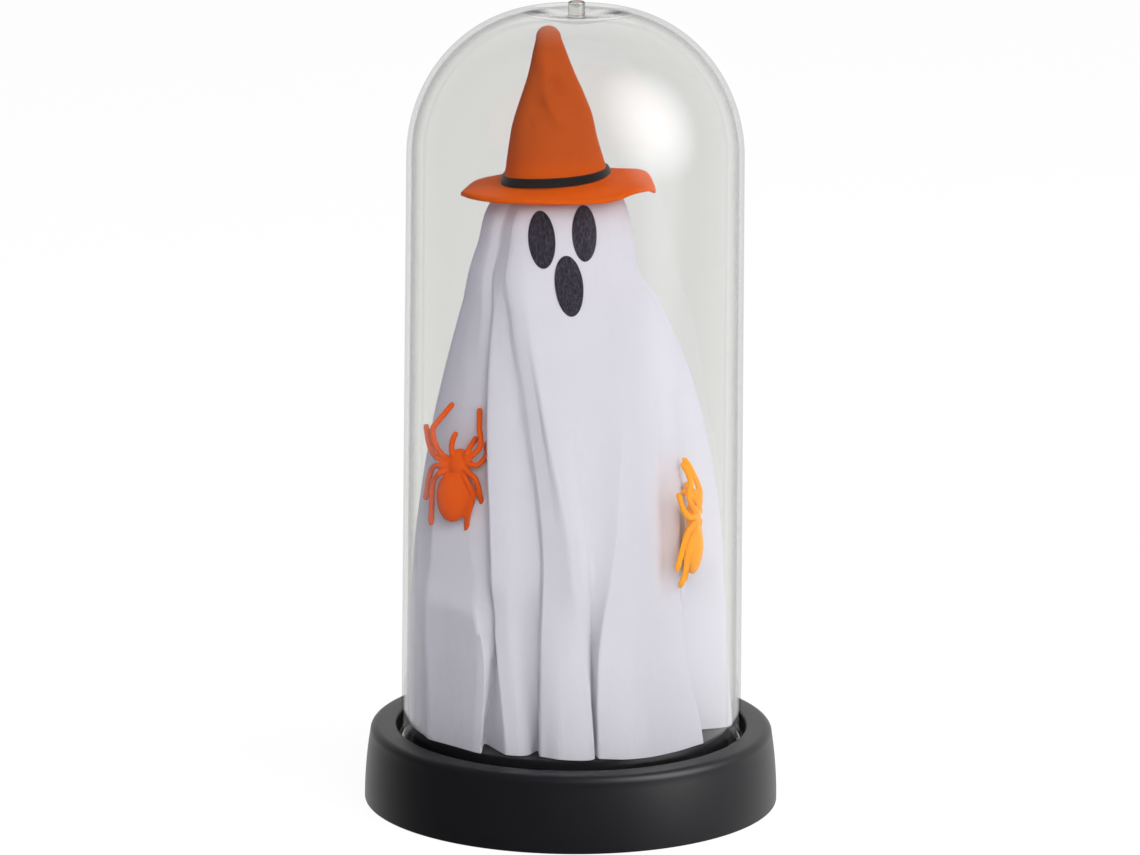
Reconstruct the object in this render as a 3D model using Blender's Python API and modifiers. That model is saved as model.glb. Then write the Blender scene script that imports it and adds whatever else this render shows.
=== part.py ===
"""A cloth ghost under a clear dome on a round battery base, modelled as separate pieces.

Units are metres and +Z is up. The ghost faces -Y. The origin is the centre of the underside.
"""

import math

import bmesh
import bpy
from mathutils import Matrix, Vector
from mathutils.bvhtree import BVHTree

MM = 0.001

# Fits shared by every piece
CLEAR = 0.3 * MM
OVERRUN = 1.0 * MM
WELD = 0.02 * MM
ROUND_STEPS = 42
SMALL_STEPS = 16
SCREW_STEPS = 12
EDGE_STEPS = 3

# Dome: blow-moulded clear cover, a nearly straight tube under a quarter ellipse
DOME_R = 47.3 * MM
DOME_WALL = 1.4 * MM
DOME_DRAFT = 1.1 * MM
DOME_STRAIGHT = 164.7 * MM
CAP_RISE = 41.0 * MM
CROWN_R = 7.9 * MM
DISH_R = 15.0 * MM
DISH_DROP = 2.5 * MM
NUB_R = 2.3 * MM
NUB_HEIGHT = 4.4 * MM
NUB_EDGE = 0.4 * MM
CAP_STEPS = 8
DOME_STEPS = 42
DISH_SHARES = ((0.8, 0.62), (0.5, 0.95))
UNDER_DISH_SHARES = ((0.85, 0.12), (0.5, 0.02))

# Base housing: turned shell with a groove for the dome and a raised platform
PLATFORM_RISE = 1.1 * MM
GROOVE_DEPTH = 4.9 * MM
GROOVE_OUTER_GAP = 1.36 * MM
GROOVE_INNER_GAP = 2.4 * MM
RIM_WIDTH = 6.9 * MM
FOOT_FLARE = 1.9 * MM
FOOT_BEVEL = 0.4 * MM
RIM_EDGE_R = 2.2 * MM
LIP_BEVEL = 0.5 * MM
HOUSING_WALL = 2.2 * MM
FLARE_SHARES = (0.62, 0.34, 0.08)

# Bottom cover: plate inside the foot, with the battery bay moulded on it
COVER_RECESS = 0.8 * MM
COVER_THICK = 2.0 * MM
COVER_GAP = 0.4 * MM
CELL_R = 5.25 * MM
CELL_LENGTH = 43.5 * MM
CELL_NUB_R = 1.9 * MM
CELL_NUB_LENGTH = 1.0 * MM
CELL_EDGE = 0.4 * MM
CELL_COUNT = 3
CELL_PITCH = 11.2 * MM
CELL_STEPS = 20
BAY_SIDE_GAP = 1.2 * MM
BAY_WALL = 1.4 * MM
SPRING_SPACE = 4.2 * MM
CONTACT_THICK = 0.4 * MM
CONTACT_HEIGHT = 8.6 * MM
CONTACT_WIDTH = 8.4 * MM
SPRING_R = 2.9 * MM
SPRING_TIP_R = 2.1 * MM
SPRING_WIRE_R = 0.3 * MM
SPRING_TURNS = 3
SPRING_POINTS_PER_TURN = 9

# Battery door: panel with two tongues on its hinge edge and a finger notch at the other
DOOR_THICK = 1.6 * MM
DOOR_GAP = 0.35 * MM
TONGUE_REACH = 2.0 * MM
TONGUE_THICK = 1.0 * MM
TONGUE_WIDTH = 6.0 * MM
TONGUE_SPACING = 26.0 * MM
TONGUE_ROOT = 1.2 * MM
NOTCH_WIDTH = 12.0 * MM
NOTCH_DEPTH = 1.6 * MM

# Cover screws and their bosses, which stand under the groove
BOSS_OUTSET = 2.5 * MM
BOSS_R = 3.4 * MM
COVER_SCREW_COUNT = 4
SCREW_SHAFT_R = 1.1 * MM
SCREW_HEAD_R = 2.4 * MM
SCREW_HEAD_HEIGHT = 1.5 * MM
SCREW_SLOT_HALF = 0.35 * MM
SCREW_SLOT_DEPTH = 0.7 * MM
SCREW_REACH = 8.0 * MM
SEAT_RISE = 2.0 * MM
SEAT_WALL = 1.2 * MM
PILOT_SPARE = 1.0 * MM

# Slide switch
SWITCH_Y = 33.0 * MM
SWITCH_LENGTH = 12.0 * MM
SWITCH_WIDTH = 6.4 * MM
SWITCH_HEIGHT = 5.2 * MM
SWITCH_WALL = 0.9 * MM
SWITCH_EAR = 4.0 * MM
SWITCH_EAR_THICK = 1.2 * MM
SWITCH_PIN_R = 0.9 * MM
SLIDER_LENGTH = 6.4 * MM
SLIDER_HEIGHT = 1.8 * MM
SLIDER_STEM_LENGTH = 3.0 * MM
SLIDER_STEM_WIDTH = 2.6 * MM
SLIDER_TRAVEL = 2.4 * MM
SLIDER_TIP_RECESS = 0.4 * MM
SLIDER_PLAY = 0.35 * MM

# LED and its board
LED_X = 14.0 * MM
LED_R = 2.5 * MM
LED_FLANGE_R = 2.9 * MM
LED_FLANGE_THICK = 1.0 * MM
LED_HEIGHT = 8.2 * MM
BOARD_LENGTH = 18.0 * MM
BOARD_WIDTH = 10.0 * MM
BOARD_THICK = 1.0 * MM
BOARD_DROP = 1.9 * MM
LEAD_ROOM = 2.0 * MM
BOARD_SCREW_PITCH = 13.0 * MM
BOARD_SCREW_R = 0.8 * MM
BOARD_SCREW_HEAD_R = 1.7 * MM
BOARD_SCREW_HEAD_HEIGHT = 0.9 * MM
BOARD_SCREW_REACH = 3.0 * MM
BOARD_BOSS_R = 2.2 * MM

# Inner wires
WIRE_R = 0.6 * MM
WIRE_HOLE_R = 1.1 * MM
WIRE_STEPS = 18

# Post and head
HEAD_X = -4.3 * MM
HEAD_R = 17.2 * MM
CLOTH_STAND_OFF = 2.2 * MM
POST_R = 3.0 * MM
POST_FOOT_R = 9.0 * MM
POST_FOOT_THICK = 1.8 * MM
POST_IN_HEAD = 12.0 * MM
POST_SCREW_REACH = 8.0 * MM
HEAD_SEGMENTS = 16
HEAD_RINGS = 10

# Hat: cone and wavy brim, leaning to the left on the head's centre
HAT_TILT = math.radians(3.3)
HAT_TOP_GAP = 1.4 * MM
HAT_HEIGHT = 43.9 * MM
HAT_WALL = 1.2 * MM
CONE_R = 15.7 * MM
CONE_TIP_R = 2.5 * MM
BRIM_R = 26.6 * MM
BRIM_THICK = 1.5 * MM
BRIM_OPENING_R = 13.4 * MM
BRIM_WAVE = 0.9 * MM
BRIM_WAVES = 3
BRIM_WAVE_TURN = math.radians(40)
HAT_STEPS = 32
BAND_RISE = 0.6 * MM
BAND_HEIGHT = 2.35 * MM
BAND_THICK = 0.5 * MM
CONE_SHARES = (0.25, 0.5, 0.75)
TIP_SHARES = ((0.94, 0.30), (0.76, 0.62), (0.45, 0.9))

# Cloth: a cone of cloth over the head, in folds that run down to the platform
CLOTH_THICK = 0.5 * MM
CLOTH_WALL_GAP = 1.4 * MM
CLOTH_TABLE_GAP = 0.3 * MM
FOLD_STEPS = 2
ROW_SHARES = (0.0, 0.13, 0.28, 0.44, 0.61, 0.78, 0.91, 1.0, 1.092)
STATION_SHARES = (0.0, 0.22, 0.44, 0.72, 1.0)
# Height share, half width and half depth as shares of the radius that falls with the height's
# square from the hem's to the head's, centre as a share of HEAD_X
BODY_SHARES = (
    (0.0, 1.0, 0.995, 0.0),
    (0.128, 0.993, 0.994, 0.14),
    (0.246, 1.005, 1.0, 0.25),
    (0.379, 1.032, 1.023, 0.28),
    (0.541, 1.055, 1.036, 0.31),
    (0.719, 1.078, 1.045, 0.47),
    (0.881, 1.064, 1.019, 0.85),
    (0.94, 1.013, 0.977, 1.35),
    (1.0, 1.078, 1.005, 1.19),
    (1.06, 1.174, 1.106, 1.15),
    (1.092, 1.176, 1.13, 1.05),
)
# Each fold line: bearings in degrees from +X through the front, at the head, chest, waist, knee
# and hem, then how far it lies inside the outline at the chest, waist, knee and hem
FOLD_LINE_SHARES = {
    "left_side": ((178, 177, 176, 176, 176), (0.0, 0.0, 0.0, 0.01)),
    "left_panel_edge": ((163, 164.8, 161.6, 156.5, 150), (0.10, 0.075, 0.015, 0.0)),
    "left_panel": ((149, 147.5, 148.2, 138, 129), (0.18, 0.195, 0.07, 0.005)),
    "left_valley": ((141.5, 128, 128.1, 119.7, 116), (0.16, 0.245, 0.28, 0.36)),
    "pleat_edge": ((137, 129.4, 123.7, 120.3, 114.2), (0.02, 0.05, 0.09, 0.065)),
    "pleat": ((133.5, 121, 114, 112, 107.3), (0.05, 0.075, 0.10, 0.09)),
    "sash_valley": ((131, 114.9, 99.5, 103.5, 103.2), (0.10, 0.13, 0.20, 0.20)),
    "front_panel_edge": ((128, 108, 95.5, 99.4, 101.3), (0.07, 0.10, 0.10, 0.13)),
    "front_panel": ((126, 102.5, 89.5, 90.5, 89.3), (0.02, 0.045, 0.045, 0.025)),
    "sash": ((123, 99.8, 85.4, 83.8, 80.8), (-0.03, 0.0, 0.035, 0.045)),
    "slit_left": ((103, 90.7, 81.3, 80, 80.3), (0.015, 0.025, 0.14, 0.28)),
    "slit": ((76, 76, 76.5, 79, 80), (0.025, 0.035, 0.20, 0.32)),
    "slit_right": ((50, 62, 69.6, 76.5, 79.2), (0.10, 0.12, 0.16, 0.28)),
    "right_panel_edge": ((47, 65.6, 73.4, 75.8, 78.3), (0.01, 0.03, 0.035, 0.04)),
    "right_panel_ridge": ((42, 60, 68, 70, 72.4), (0.0, 0.005, 0.025, 0.0)),
    "right_panel": ((35, 50, 57, 58, 57), (0.0, 0.015, 0.04, 0.015)),
    "right_panel_side": ((28, 42, 49, 49, 45.5), (0.0, 0.015, 0.015, 0.015)),
    "right_corner": ((22, 34, 42.3, 41, 35.5), (0.02, 0.015, 0.015, 0.03)),
    "right_valley": ((14, 24, 33, 33, 26), (0.07, 0.14, 0.16, 0.20)),
    "right_side": ((0, 4, 4, 4, 9), (0.0, 0.0, 0.0, 0.0)),
    "back_valley_1": ((-12, -11, -10, -10, -9), (0.05, 0.10, 0.13, 0.15)),
    "back_ridge_1": ((-26, -24, -23, -23, -22), (0.0, 0.0, 0.0, 0.0)),
    "back_valley_2": ((-42, -40, -39, -39, -38), (0.05, 0.11, 0.15, 0.17)),
    "back_ridge_2": ((-57, -56, -55, -55, -54), (0.0, 0.0, 0.0, 0.0)),
    "back_valley_3": ((-73, -72, -71, -71, -70), (0.06, 0.12, 0.16, 0.19)),
    "back_ridge_3": ((-90, -89, -88, -88, -87), (0.0, 0.0, 0.0, 0.01)),
    "back_valley_4": ((-107, -106, -105, -104, -103), (0.06, 0.12, 0.16, 0.18)),
    "back_ridge_4": ((-123, -122, -121, -121, -120), (0.0, 0.0, 0.0, 0.0)),
    "back_valley_5": ((-139, -138, -137, -137, -136), (0.05, 0.11, 0.15, 0.17)),
    "back_ridge_5": ((-153, -152, -151, -151, -150), (0.0, 0.0, 0.0, 0.0)),
    "back_valley_6": ((-168, -167, -166, -166, -165), (0.04, 0.09, 0.12, 0.14)),
}

# Face: felt ovals, each with its place across and up from the head's centre
FELT_GAP = 0.6 * MM
FELT_THICK = 0.5 * MM
FELT_RINGS = 3
FELT_SEGMENTS = 16
FACE_PATCHES = (
    ("eye_left", -4.6 * MM, 4.0 * MM, 3.65 * MM, 7.7 * MM, math.radians(5)),
    ("eye_right", 6.8 * MM, 5.3 * MM, 3.3 * MM, 7.5 * MM, math.radians(4)),
    ("mouth", 2.8 * MM, -8.2 * MM, 3.8 * MM, 8.0 * MM, math.radians(8)),
)

# Spiders: both from one mould, measured from the waist between head and belly
BELLY_HALF_WIDTH = 5.0 * MM
BELLY_HALF_LENGTH = 7.2 * MM
BELLY_HALF_THICK = 2.4 * MM
BELLY_BACK = 6.6 * MM
BELLY_SEGMENTS = 14
BELLY_RINGS = 9
HEAD_HALF_WIDTH = 3.4 * MM
HEAD_HALF_LENGTH = 3.9 * MM
HEAD_HALF_THICK = 2.1 * MM
HEAD_FORWARD = 2.7 * MM
SPIDER_BODY_RISE = 2.4 * MM
SPIDER_LEG_R = 0.8 * MM
SPIDER_KNEE_RISE = 2.2 * MM
SPIDER_TOE_DROP = 3.0 * MM
SPIDER_PALP_R = 0.8 * MM
# Across and up from the waist, in shares of the belly's half length
LEG_SHARES = (
    ((0.25, 0.42), (0.66, 0.60), (1.38, 1.17), (1.02, 1.83), (0.68, 2.53)),
    ((0.28, 0.36), (0.85, 0.42), (1.43, 0.47), (1.83, 0.90), (1.77, 1.49)),
    ((0.28, 0.22), (0.60, 0.17), (1.40, -0.10), (1.75, -0.72), (1.87, -1.55)),
    ((0.25, 0.12), (0.65, -0.13), (1.18, -0.51), (1.26, -1.02), (0.98, -2.34)),
)
PALP_SHARES = ((0.2, 0.45), (0.33, 0.95), (0.42, 1.4))
LEG_POINTS = 8
PALP_POINTS = 3
SPIDER_WALL_GAP = 1.2 * MM
# Where each spider's waist is: across and toward the front in shares of the hem's radius, and up
# in shares of the cloth's height
LEFT_WAIST_SHARES = (-0.663, 0.404, 0.554)
RIGHT_WAIST_SHARES = (0.701, 0.517, 0.439)
# Each spider's facing, nod and roll
LEFT_SPIDER_TURN = (math.radians(-16), math.radians(6), math.radians(6.5))
RIGHT_SPIDER_TURN = (math.radians(81), math.radians(-2), 0.0)
# How far the legs spread on each spider's left and right, as shares of their full reach
LEFT_SPREAD_SHARES = (1.0, 0.55)
RIGHT_SPREAD_SHARES = (0.75, 0.5)
SPIDER_SEARCH = 12.0 * MM

# Heights and radii that follow from the sizes above; the base is as tall as what it holds
COVER_TOP_Z = COVER_RECESS + COVER_THICK
DOOR_TOP_Z = COVER_RECESS + DOOR_THICK
CELL_Z = DOOR_TOP_Z + 2 * CLEAR + CELL_R
BAY_LENGTH = CELL_LENGTH + CELL_NUB_LENGTH + SPRING_SPACE + 2 * CONTACT_THICK + 2 * CLEAR
BAY_WIDTH = (CELL_COUNT - 1) * CELL_PITCH + 2 * CELL_R + 2 * BAY_SIDE_GAP
BAY_CEILING_Z = CELL_Z + CELL_R + CLEAR
BAY_TOP_Z = BAY_CEILING_Z + BAY_WALL
BOARD_TOP_Z = BAY_TOP_Z + LEAD_ROOM + BOARD_THICK
UNDER_PLATFORM_Z = BOARD_TOP_Z + BOARD_DROP
PLATFORM_Z = UNDER_PLATFORM_Z + HOUSING_WALL
BASE_HEIGHT = PLATFORM_Z - PLATFORM_RISE
GROOVE_Z = BASE_HEIGHT - GROOVE_DEPTH
GROOVE_OUTER_R = DOME_R + GROOVE_OUTER_GAP
PLATFORM_R = DOME_R - DOME_WALL - GROOVE_INNER_GAP
BOSS_RING_R = PLATFORM_R + BOSS_OUTSET
RIM_R = GROOVE_OUTER_R + RIM_WIDTH
FOOT_R = RIM_R + FOOT_FLARE
UNDER_RIM_Z = BASE_HEIGHT - HOUSING_WALL
UNDER_GROOVE_Z = GROOVE_Z - HOUSING_WALL
COVER_R = FOOT_R - FOOT_BEVEL - HOUSING_WALL - COVER_GAP
DOME_FOOT_Z = GROOVE_Z + CLEAR
SHOULDER_Z = DOME_FOOT_Z + DOME_STRAIGHT
SHOULDER_R = DOME_R - DOME_DRAFT
CROWN_Z = SHOULDER_Z + CAP_RISE
DISH_Z = CROWN_Z - DISH_DROP
CROWN_UNDER_Z = DISH_Z - DOME_WALL
CLOTH_HEM_Z = PLATFORM_Z + CLOTH_TABLE_GAP
CLOTH_HEM_R = DOME_R - DOME_WALL - CLOTH_WALL_GAP
CLOTH_HEAD_R = HEAD_R + CLOTH_STAND_OFF
BRIM_RISE = math.sqrt(CLOTH_HEAD_R**2 - BRIM_OPENING_R**2) + 2 * CLEAR + BRIM_THICK / 2
HEAD_Z = CROWN_UNDER_Z - HAT_TOP_GAP - (BRIM_RISE + HAT_HEIGHT) * math.cos(HAT_TILT)
CLOTH_HEIGHT = HEAD_Z - CLOTH_HEM_Z
SPIDER_BELLY = (BELLY_HALF_WIDTH, BELLY_HALF_LENGTH, BELLY_HALF_THICK)
SPIDER_HEAD = (HEAD_HALF_WIDTH, HEAD_HALF_LENGTH, HEAD_HALF_THICK)

# Colours of the real finishes, as seen under plain light
BLACK_ABS = "#1B1B1D"
CLEAR_PET = "#E9EDEE"
WHITE_CLOTH = "#E6E5EA"
BLACK_FELT = "#0E0E10"
ORANGE_FOAM = "#E06A10"
BLACK_RIBBON = "#201E1C"
DEEP_ORANGE = "#C84800"
BRIGHT_ORANGE = "#FFA60A"
BARE_STEEL = "#A9ABAE"
CELL_SLEEVE = "#2F5E46"
WHITE_FOAM = "#F0EFEA"
BOARD_GREEN = "#1E5B34"
LED_LENS = "#F4F4F0"
WIRE_RED = "#B01818"
WIRE_BLACK = "#161616"


def clear_scene():
    """Removes every object that the file opened with."""
    for item in list(bpy.data.objects):
        bpy.data.objects.remove(item, do_unlink=True)


def new_collection(name):
    """A collection under the scene's own."""
    made = bpy.data.collections.new(name)
    bpy.context.scene.collection.children.link(made)
    return made


clear_scene()
PARTS = new_collection("ghost_cloche")
CUTTERS = new_collection("cutters")


def linear(hex_colour):
    """sRGB hex text as linear RGB with full alpha."""
    values = [int(hex_colour[i : i + 2], 16) / 255 for i in (1, 3, 5)]
    rgb = [v / 12.92 if v <= 0.04045 else ((v + 0.055) / 1.055) ** 2.4 for v in values]
    return (*rgb, 1.0)


def material(name, hex_colour, roughness, metallic=0.0, transmission=0.0):
    """A Principled material; two pieces of one finish still get their own."""
    made = bpy.data.materials.new(name)
    made.use_nodes = True
    shader = made.node_tree.nodes["Principled BSDF"]
    shader.inputs["Base Color"].default_value = linear(hex_colour)
    shader.inputs["Roughness"].default_value = roughness
    shader.inputs["Metallic"].default_value = metallic
    shader.inputs["Transmission Weight"].default_value = transmission
    return made


def place(mesh, name, finish=None):
    """Links a mesh as a part, or as a hidden cutter where it has no finish."""
    made = bpy.data.objects.new(name, mesh)
    if finish is None:
        CUTTERS.objects.link(made)
        made.hide_render = True
        made.display_type = "WIRE"
    else:
        PARTS.objects.link(made)
        mesh.materials.clear()
        mesh.materials.append(finish)
    return made


def from_bmesh(shape, name, finish=None):
    """Turns a bmesh into a placed object."""
    mesh = bpy.data.meshes.new(name)
    bmesh.ops.recalc_face_normals(shape, faces=shape.faces)
    shape.to_mesh(mesh)
    shape.free()
    return place(mesh, name, finish)


def smooth(item, angle=math.radians(40)):
    """Smooth shading, with edges sharper than the angle kept."""
    item.data.shade_smooth()
    item.data.set_sharp_from_angle(angle=angle)
    return item


def box(name, low, high, finish=None):
    """A box between two corners."""
    shape = bmesh.new()
    size = Vector(high) - Vector(low)
    middle = (Vector(high) + Vector(low)) / 2
    bmesh.ops.create_cube(shape, size=1, matrix=Matrix.Translation(middle) @ Matrix.Diagonal((*size, 1)))
    return from_bmesh(shape, name, finish)


def rod(name, centre, radius, low_z, high_z, finish=None, steps=SMALL_STEPS):
    """An upright cylinder between two heights."""
    shape = bmesh.new()
    bmesh.ops.create_cone(
        shape,
        cap_ends=True,
        segments=steps,
        radius1=radius,
        radius2=radius,
        depth=high_z - low_z,
        matrix=Matrix.Translation((centre[0], centre[1], (low_z + high_z) / 2)),
    )
    return from_bmesh(shape, name, finish)


def ball(name, matrix, radii, segments, rings, finish=None):
    """An ellipsoid with the given half sizes, placed by a matrix."""
    shape = bmesh.new()
    bmesh.ops.create_uvsphere(
        shape, u_segments=segments, v_segments=rings, radius=1, matrix=matrix @ Matrix.Diagonal((*radii, 1))
    )
    return from_bmesh(shape, name, finish)


def turned(name, profile, steps, finish=None, centre=(0, 0)):
    """A profile of (radius, height) points turned about an upright axis with Screw."""
    mesh = bpy.data.meshes.new(name)
    points = [(radius, 0, height) for radius, height in profile]
    mesh.from_pydata(points, [(i, i + 1) for i in range(len(points) - 1)], [])
    made = place(mesh, name, finish)
    made.location = (centre[0], centre[1], 0)
    screw = made.modifiers.new("Turn", "SCREW")
    screw.axis = "Z"
    screw.angle = 2 * math.pi
    screw.steps = steps
    screw.render_steps = steps
    screw.use_merge_vertices = True
    screw.merge_threshold = WELD
    screw.use_smooth_shade = True
    screw.use_normal_calculate = False
    return made


def boolean(item, tool, operation):
    """Adds one exact Boolean to an object."""
    step = item.modifiers.new(f"{operation.title()} {tool.name}", "BOOLEAN")
    step.operation = operation
    step.solver = "EXACT"
    step.object = tool
    return item


def cut(item, *tools):
    """Takes each tool out of the object."""
    for tool in tools:
        boolean(item, tool, "DIFFERENCE")
    return item


def join(item, *tools):
    """Adds each tool to the object."""
    for tool in tools:
        boolean(item, tool, "UNION")
    return item


def evaluated_mesh(item):
    """A copy of the mesh that the object's modifiers give, with its doubles merged."""
    bpy.context.view_layer.update()
    graph = bpy.context.evaluated_depsgraph_get()
    mesh = bpy.data.meshes.new_from_object(item.evaluated_get(graph))
    shape = bmesh.new()
    shape.from_mesh(mesh)
    bmesh.ops.remove_doubles(shape, verts=shape.verts, dist=WELD / 4)
    shape.to_mesh(mesh)
    shape.free()
    return mesh


def tube(name, points, radius, finish=None, bevel_resolution=2):
    """A round tube along points, as a mesh with closed ends."""
    curve = bpy.data.curves.new(name, "CURVE")
    curve.dimensions = "3D"
    curve.bevel_depth = radius
    curve.bevel_resolution = bevel_resolution
    curve.use_fill_caps = True
    spline = curve.splines.new("POLY")
    spline.points.add(len(points) - 1)
    for point, place_at in zip(spline.points, points):
        point.co = (*place_at, 1)
    guide = bpy.data.objects.new(f"{name}_guide", curve)
    CUTTERS.objects.link(guide)
    mesh = evaluated_mesh(guide)
    bpy.data.objects.remove(guide, do_unlink=True)
    made = place(mesh, name, finish)
    return smooth(made)


def through(points, t):
    """A point at share t along a smooth curve that passes through all the points."""
    last = len(points) - 1
    at = min(max(t, 0.0), 1.0) * last
    i = min(int(at), last - 1)
    f = at - i
    p0 = Vector(points[max(i - 1, 0)])
    p1 = Vector(points[i])
    p2 = Vector(points[i + 1])
    p3 = Vector(points[min(i + 2, last)])
    return 0.5 * (
        2 * p1 + (p2 - p0) * f + (2 * p0 - 5 * p1 + 4 * p2 - p3) * f**2 + (3 * p1 - p0 - 3 * p2 + p3) * f**3
    )


def row_of(rows, height_share):
    """The values of a table whose rows start with a height share, read smoothly between rows."""
    if height_share <= rows[0][0]:
        return rows[0][1:]
    if height_share >= rows[-1][0]:
        return rows[-1][1:]
    i = max(k for k in range(len(rows) - 1) if rows[k][0] <= height_share)
    f = (height_share - rows[i][0]) / (rows[i + 1][0] - rows[i][0])
    around = [rows[max(i - 1, 0)], rows[i], rows[i + 1], rows[min(i + 2, len(rows) - 1)]]
    values = []
    for k in range(1, len(rows[0])):
        p0, p1, p2, p3 = (row[k] for row in around)
        smooth_part = (2 * p0 - 5 * p1 + 4 * p2 - p3) * f**2 + (3 * p1 - p0 - 3 * p2 + p3) * f**3
        values.append(0.5 * (2 * p1 + (p2 - p0) * f + smooth_part))
    return values


def dome_cap(inset):
    """The cap's quarter ellipse from its shoulder up, set in by a wall; (radius, height) points."""
    points = []
    for k in range(CAP_STEPS + 1):
        angle = math.pi / 2 * k / CAP_STEPS
        radius = CROWN_R + (SHOULDER_R - inset - CROWN_R) * math.cos(angle)
        points.append((radius, SHOULDER_Z + (CAP_RISE - inset) * math.sin(angle)))
    return points


def make_dome():
    """Clear cover: straight drafted wall, elliptical cap, dished crown and moulding nub."""
    nub_top = DISH_Z + NUB_HEIGHT
    profile = [(0, nub_top), (NUB_R - NUB_EDGE, nub_top), (NUB_R, nub_top - NUB_EDGE), (NUB_R, DISH_Z)]
    for across, drop in reversed(DISH_SHARES):
        profile.append((DISH_R * across, CROWN_Z - DISH_DROP * drop))
    outer = [point for point in dome_cap(0) if point[0] >= DISH_R]
    profile += reversed(outer)
    profile += [(DOME_R, DOME_FOOT_Z), (DOME_R - DOME_WALL, DOME_FOOT_Z)]
    inner = [point for point in dome_cap(DOME_WALL) if point[0] >= DISH_R]
    profile += inner
    for across, rise in UNDER_DISH_SHARES:
        profile.append((DISH_R * across, CROWN_UNDER_Z + DISH_DROP * rise))
    profile.append((0, CROWN_UNDER_Z))
    return turned("dome", profile, DOME_STEPS, material("clear_pet", CLEAR_PET, 0.05, transmission=1.0))


def housing_profile():
    """Half section of the base housing, from the platform's middle round to its underside."""
    flare_rise = BASE_HEIGHT - RIM_EDGE_R
    top_r = RIM_R + FOOT_FLARE * (1 - (flare_rise / BASE_HEIGHT) ** 2)
    edge = []
    for k in range(EDGE_STEPS + 1):
        angle = math.pi / 2 * k / EDGE_STEPS
        edge.append(
            (
                top_r - RIM_EDGE_R + RIM_EDGE_R * math.sin(angle),
                flare_rise + RIM_EDGE_R * math.cos(angle),
            )
        )
    profile = [
        (0, PLATFORM_Z),
        (PLATFORM_R - LIP_BEVEL, PLATFORM_Z),
        (PLATFORM_R, PLATFORM_Z - LIP_BEVEL),
        (PLATFORM_R, GROOVE_Z),
        (GROOVE_OUTER_R, GROOVE_Z),
        (GROOVE_OUTER_R, BASE_HEIGHT - LIP_BEVEL),
        (GROOVE_OUTER_R + LIP_BEVEL, BASE_HEIGHT),
    ]
    profile += edge
    for share in FLARE_SHARES:
        rise = BASE_HEIGHT * share
        profile.append((RIM_R + FOOT_FLARE * (1 - share**2), rise))
    profile += [
        (FOOT_R - FOOT_BEVEL, 0),
        (FOOT_R - FOOT_BEVEL - HOUSING_WALL, 0),
        (RIM_R - HOUSING_WALL, UNDER_RIM_Z),
        (GROOVE_OUTER_R + HOUSING_WALL, UNDER_RIM_Z),
        (GROOVE_OUTER_R + HOUSING_WALL, UNDER_GROOVE_Z),
        (PLATFORM_R - HOUSING_WALL, UNDER_GROOVE_Z),
        (PLATFORM_R - HOUSING_WALL, UNDER_PLATFORM_Z),
        (0, UNDER_PLATFORM_Z),
    ]
    return profile


def cover_screw_places():
    """Where the cover's screws stand, on a ring clear of the battery bay."""
    places = []
    for k in range(COVER_SCREW_COUNT):
        angle = 2 * math.pi * (k + 0.5) / COVER_SCREW_COUNT
        places.append((BOSS_RING_R * math.cos(angle), BOSS_RING_R * math.sin(angle)))
    return places


def board_screw_places():
    """Where the LED board's two screws stand, either side of the LED."""
    return [(LED_X, side * BOARD_SCREW_PITCH / 2) for side in (-1, 1)]


def make_housing():
    """Black base shell with screw bosses under the groove and the platform."""
    housing = turned("base_housing", housing_profile(), ROUND_STEPS, material("black_abs", BLACK_ABS, 0.35))
    boss_foot = COVER_TOP_Z + SEAT_RISE + CLEAR
    for k, spot in enumerate(cover_screw_places()):
        join(housing, rod(f"boss_{k}", spot, BOSS_R, boss_foot, UNDER_GROOVE_Z + HOUSING_WALL / 2))
        pilot_top = boss_foot + SCREW_REACH + PILOT_SPARE
        cut(housing, rod(f"pilot_{k}", spot, SCREW_SHAFT_R + CLEAR, boss_foot - OVERRUN, pilot_top))
    for k, spot in enumerate(board_screw_places()):
        boss_low = BOARD_TOP_Z + CLEAR
        join(housing, rod(f"board_boss_{k}", spot, BOARD_BOSS_R, boss_low, PLATFORM_Z - HOUSING_WALL / 2))
        pilot_top = boss_low + BOARD_SCREW_REACH
        cut(housing, rod(f"board_pilot_{k}", spot, BOARD_SCREW_R + CLEAR, boss_low - OVERRUN, pilot_top))
    hole_low = UNDER_PLATFORM_Z - OVERRUN
    hole_high = PLATFORM_Z + OVERRUN
    cut(housing, rod("led_hole", (LED_X, 0), LED_R + CLEAR, hole_low, hole_high))
    cut(housing, rod("post_hole", (HEAD_X, 0), SCREW_SHAFT_R + CLEAR, hole_low, hole_high))
    return housing


def bay_rows():
    """The y of each cell, in order across the bay."""
    first = -(CELL_COUNT - 1) * CELL_PITCH / 2
    return [first + k * CELL_PITCH for k in range(CELL_COUNT)]


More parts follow.
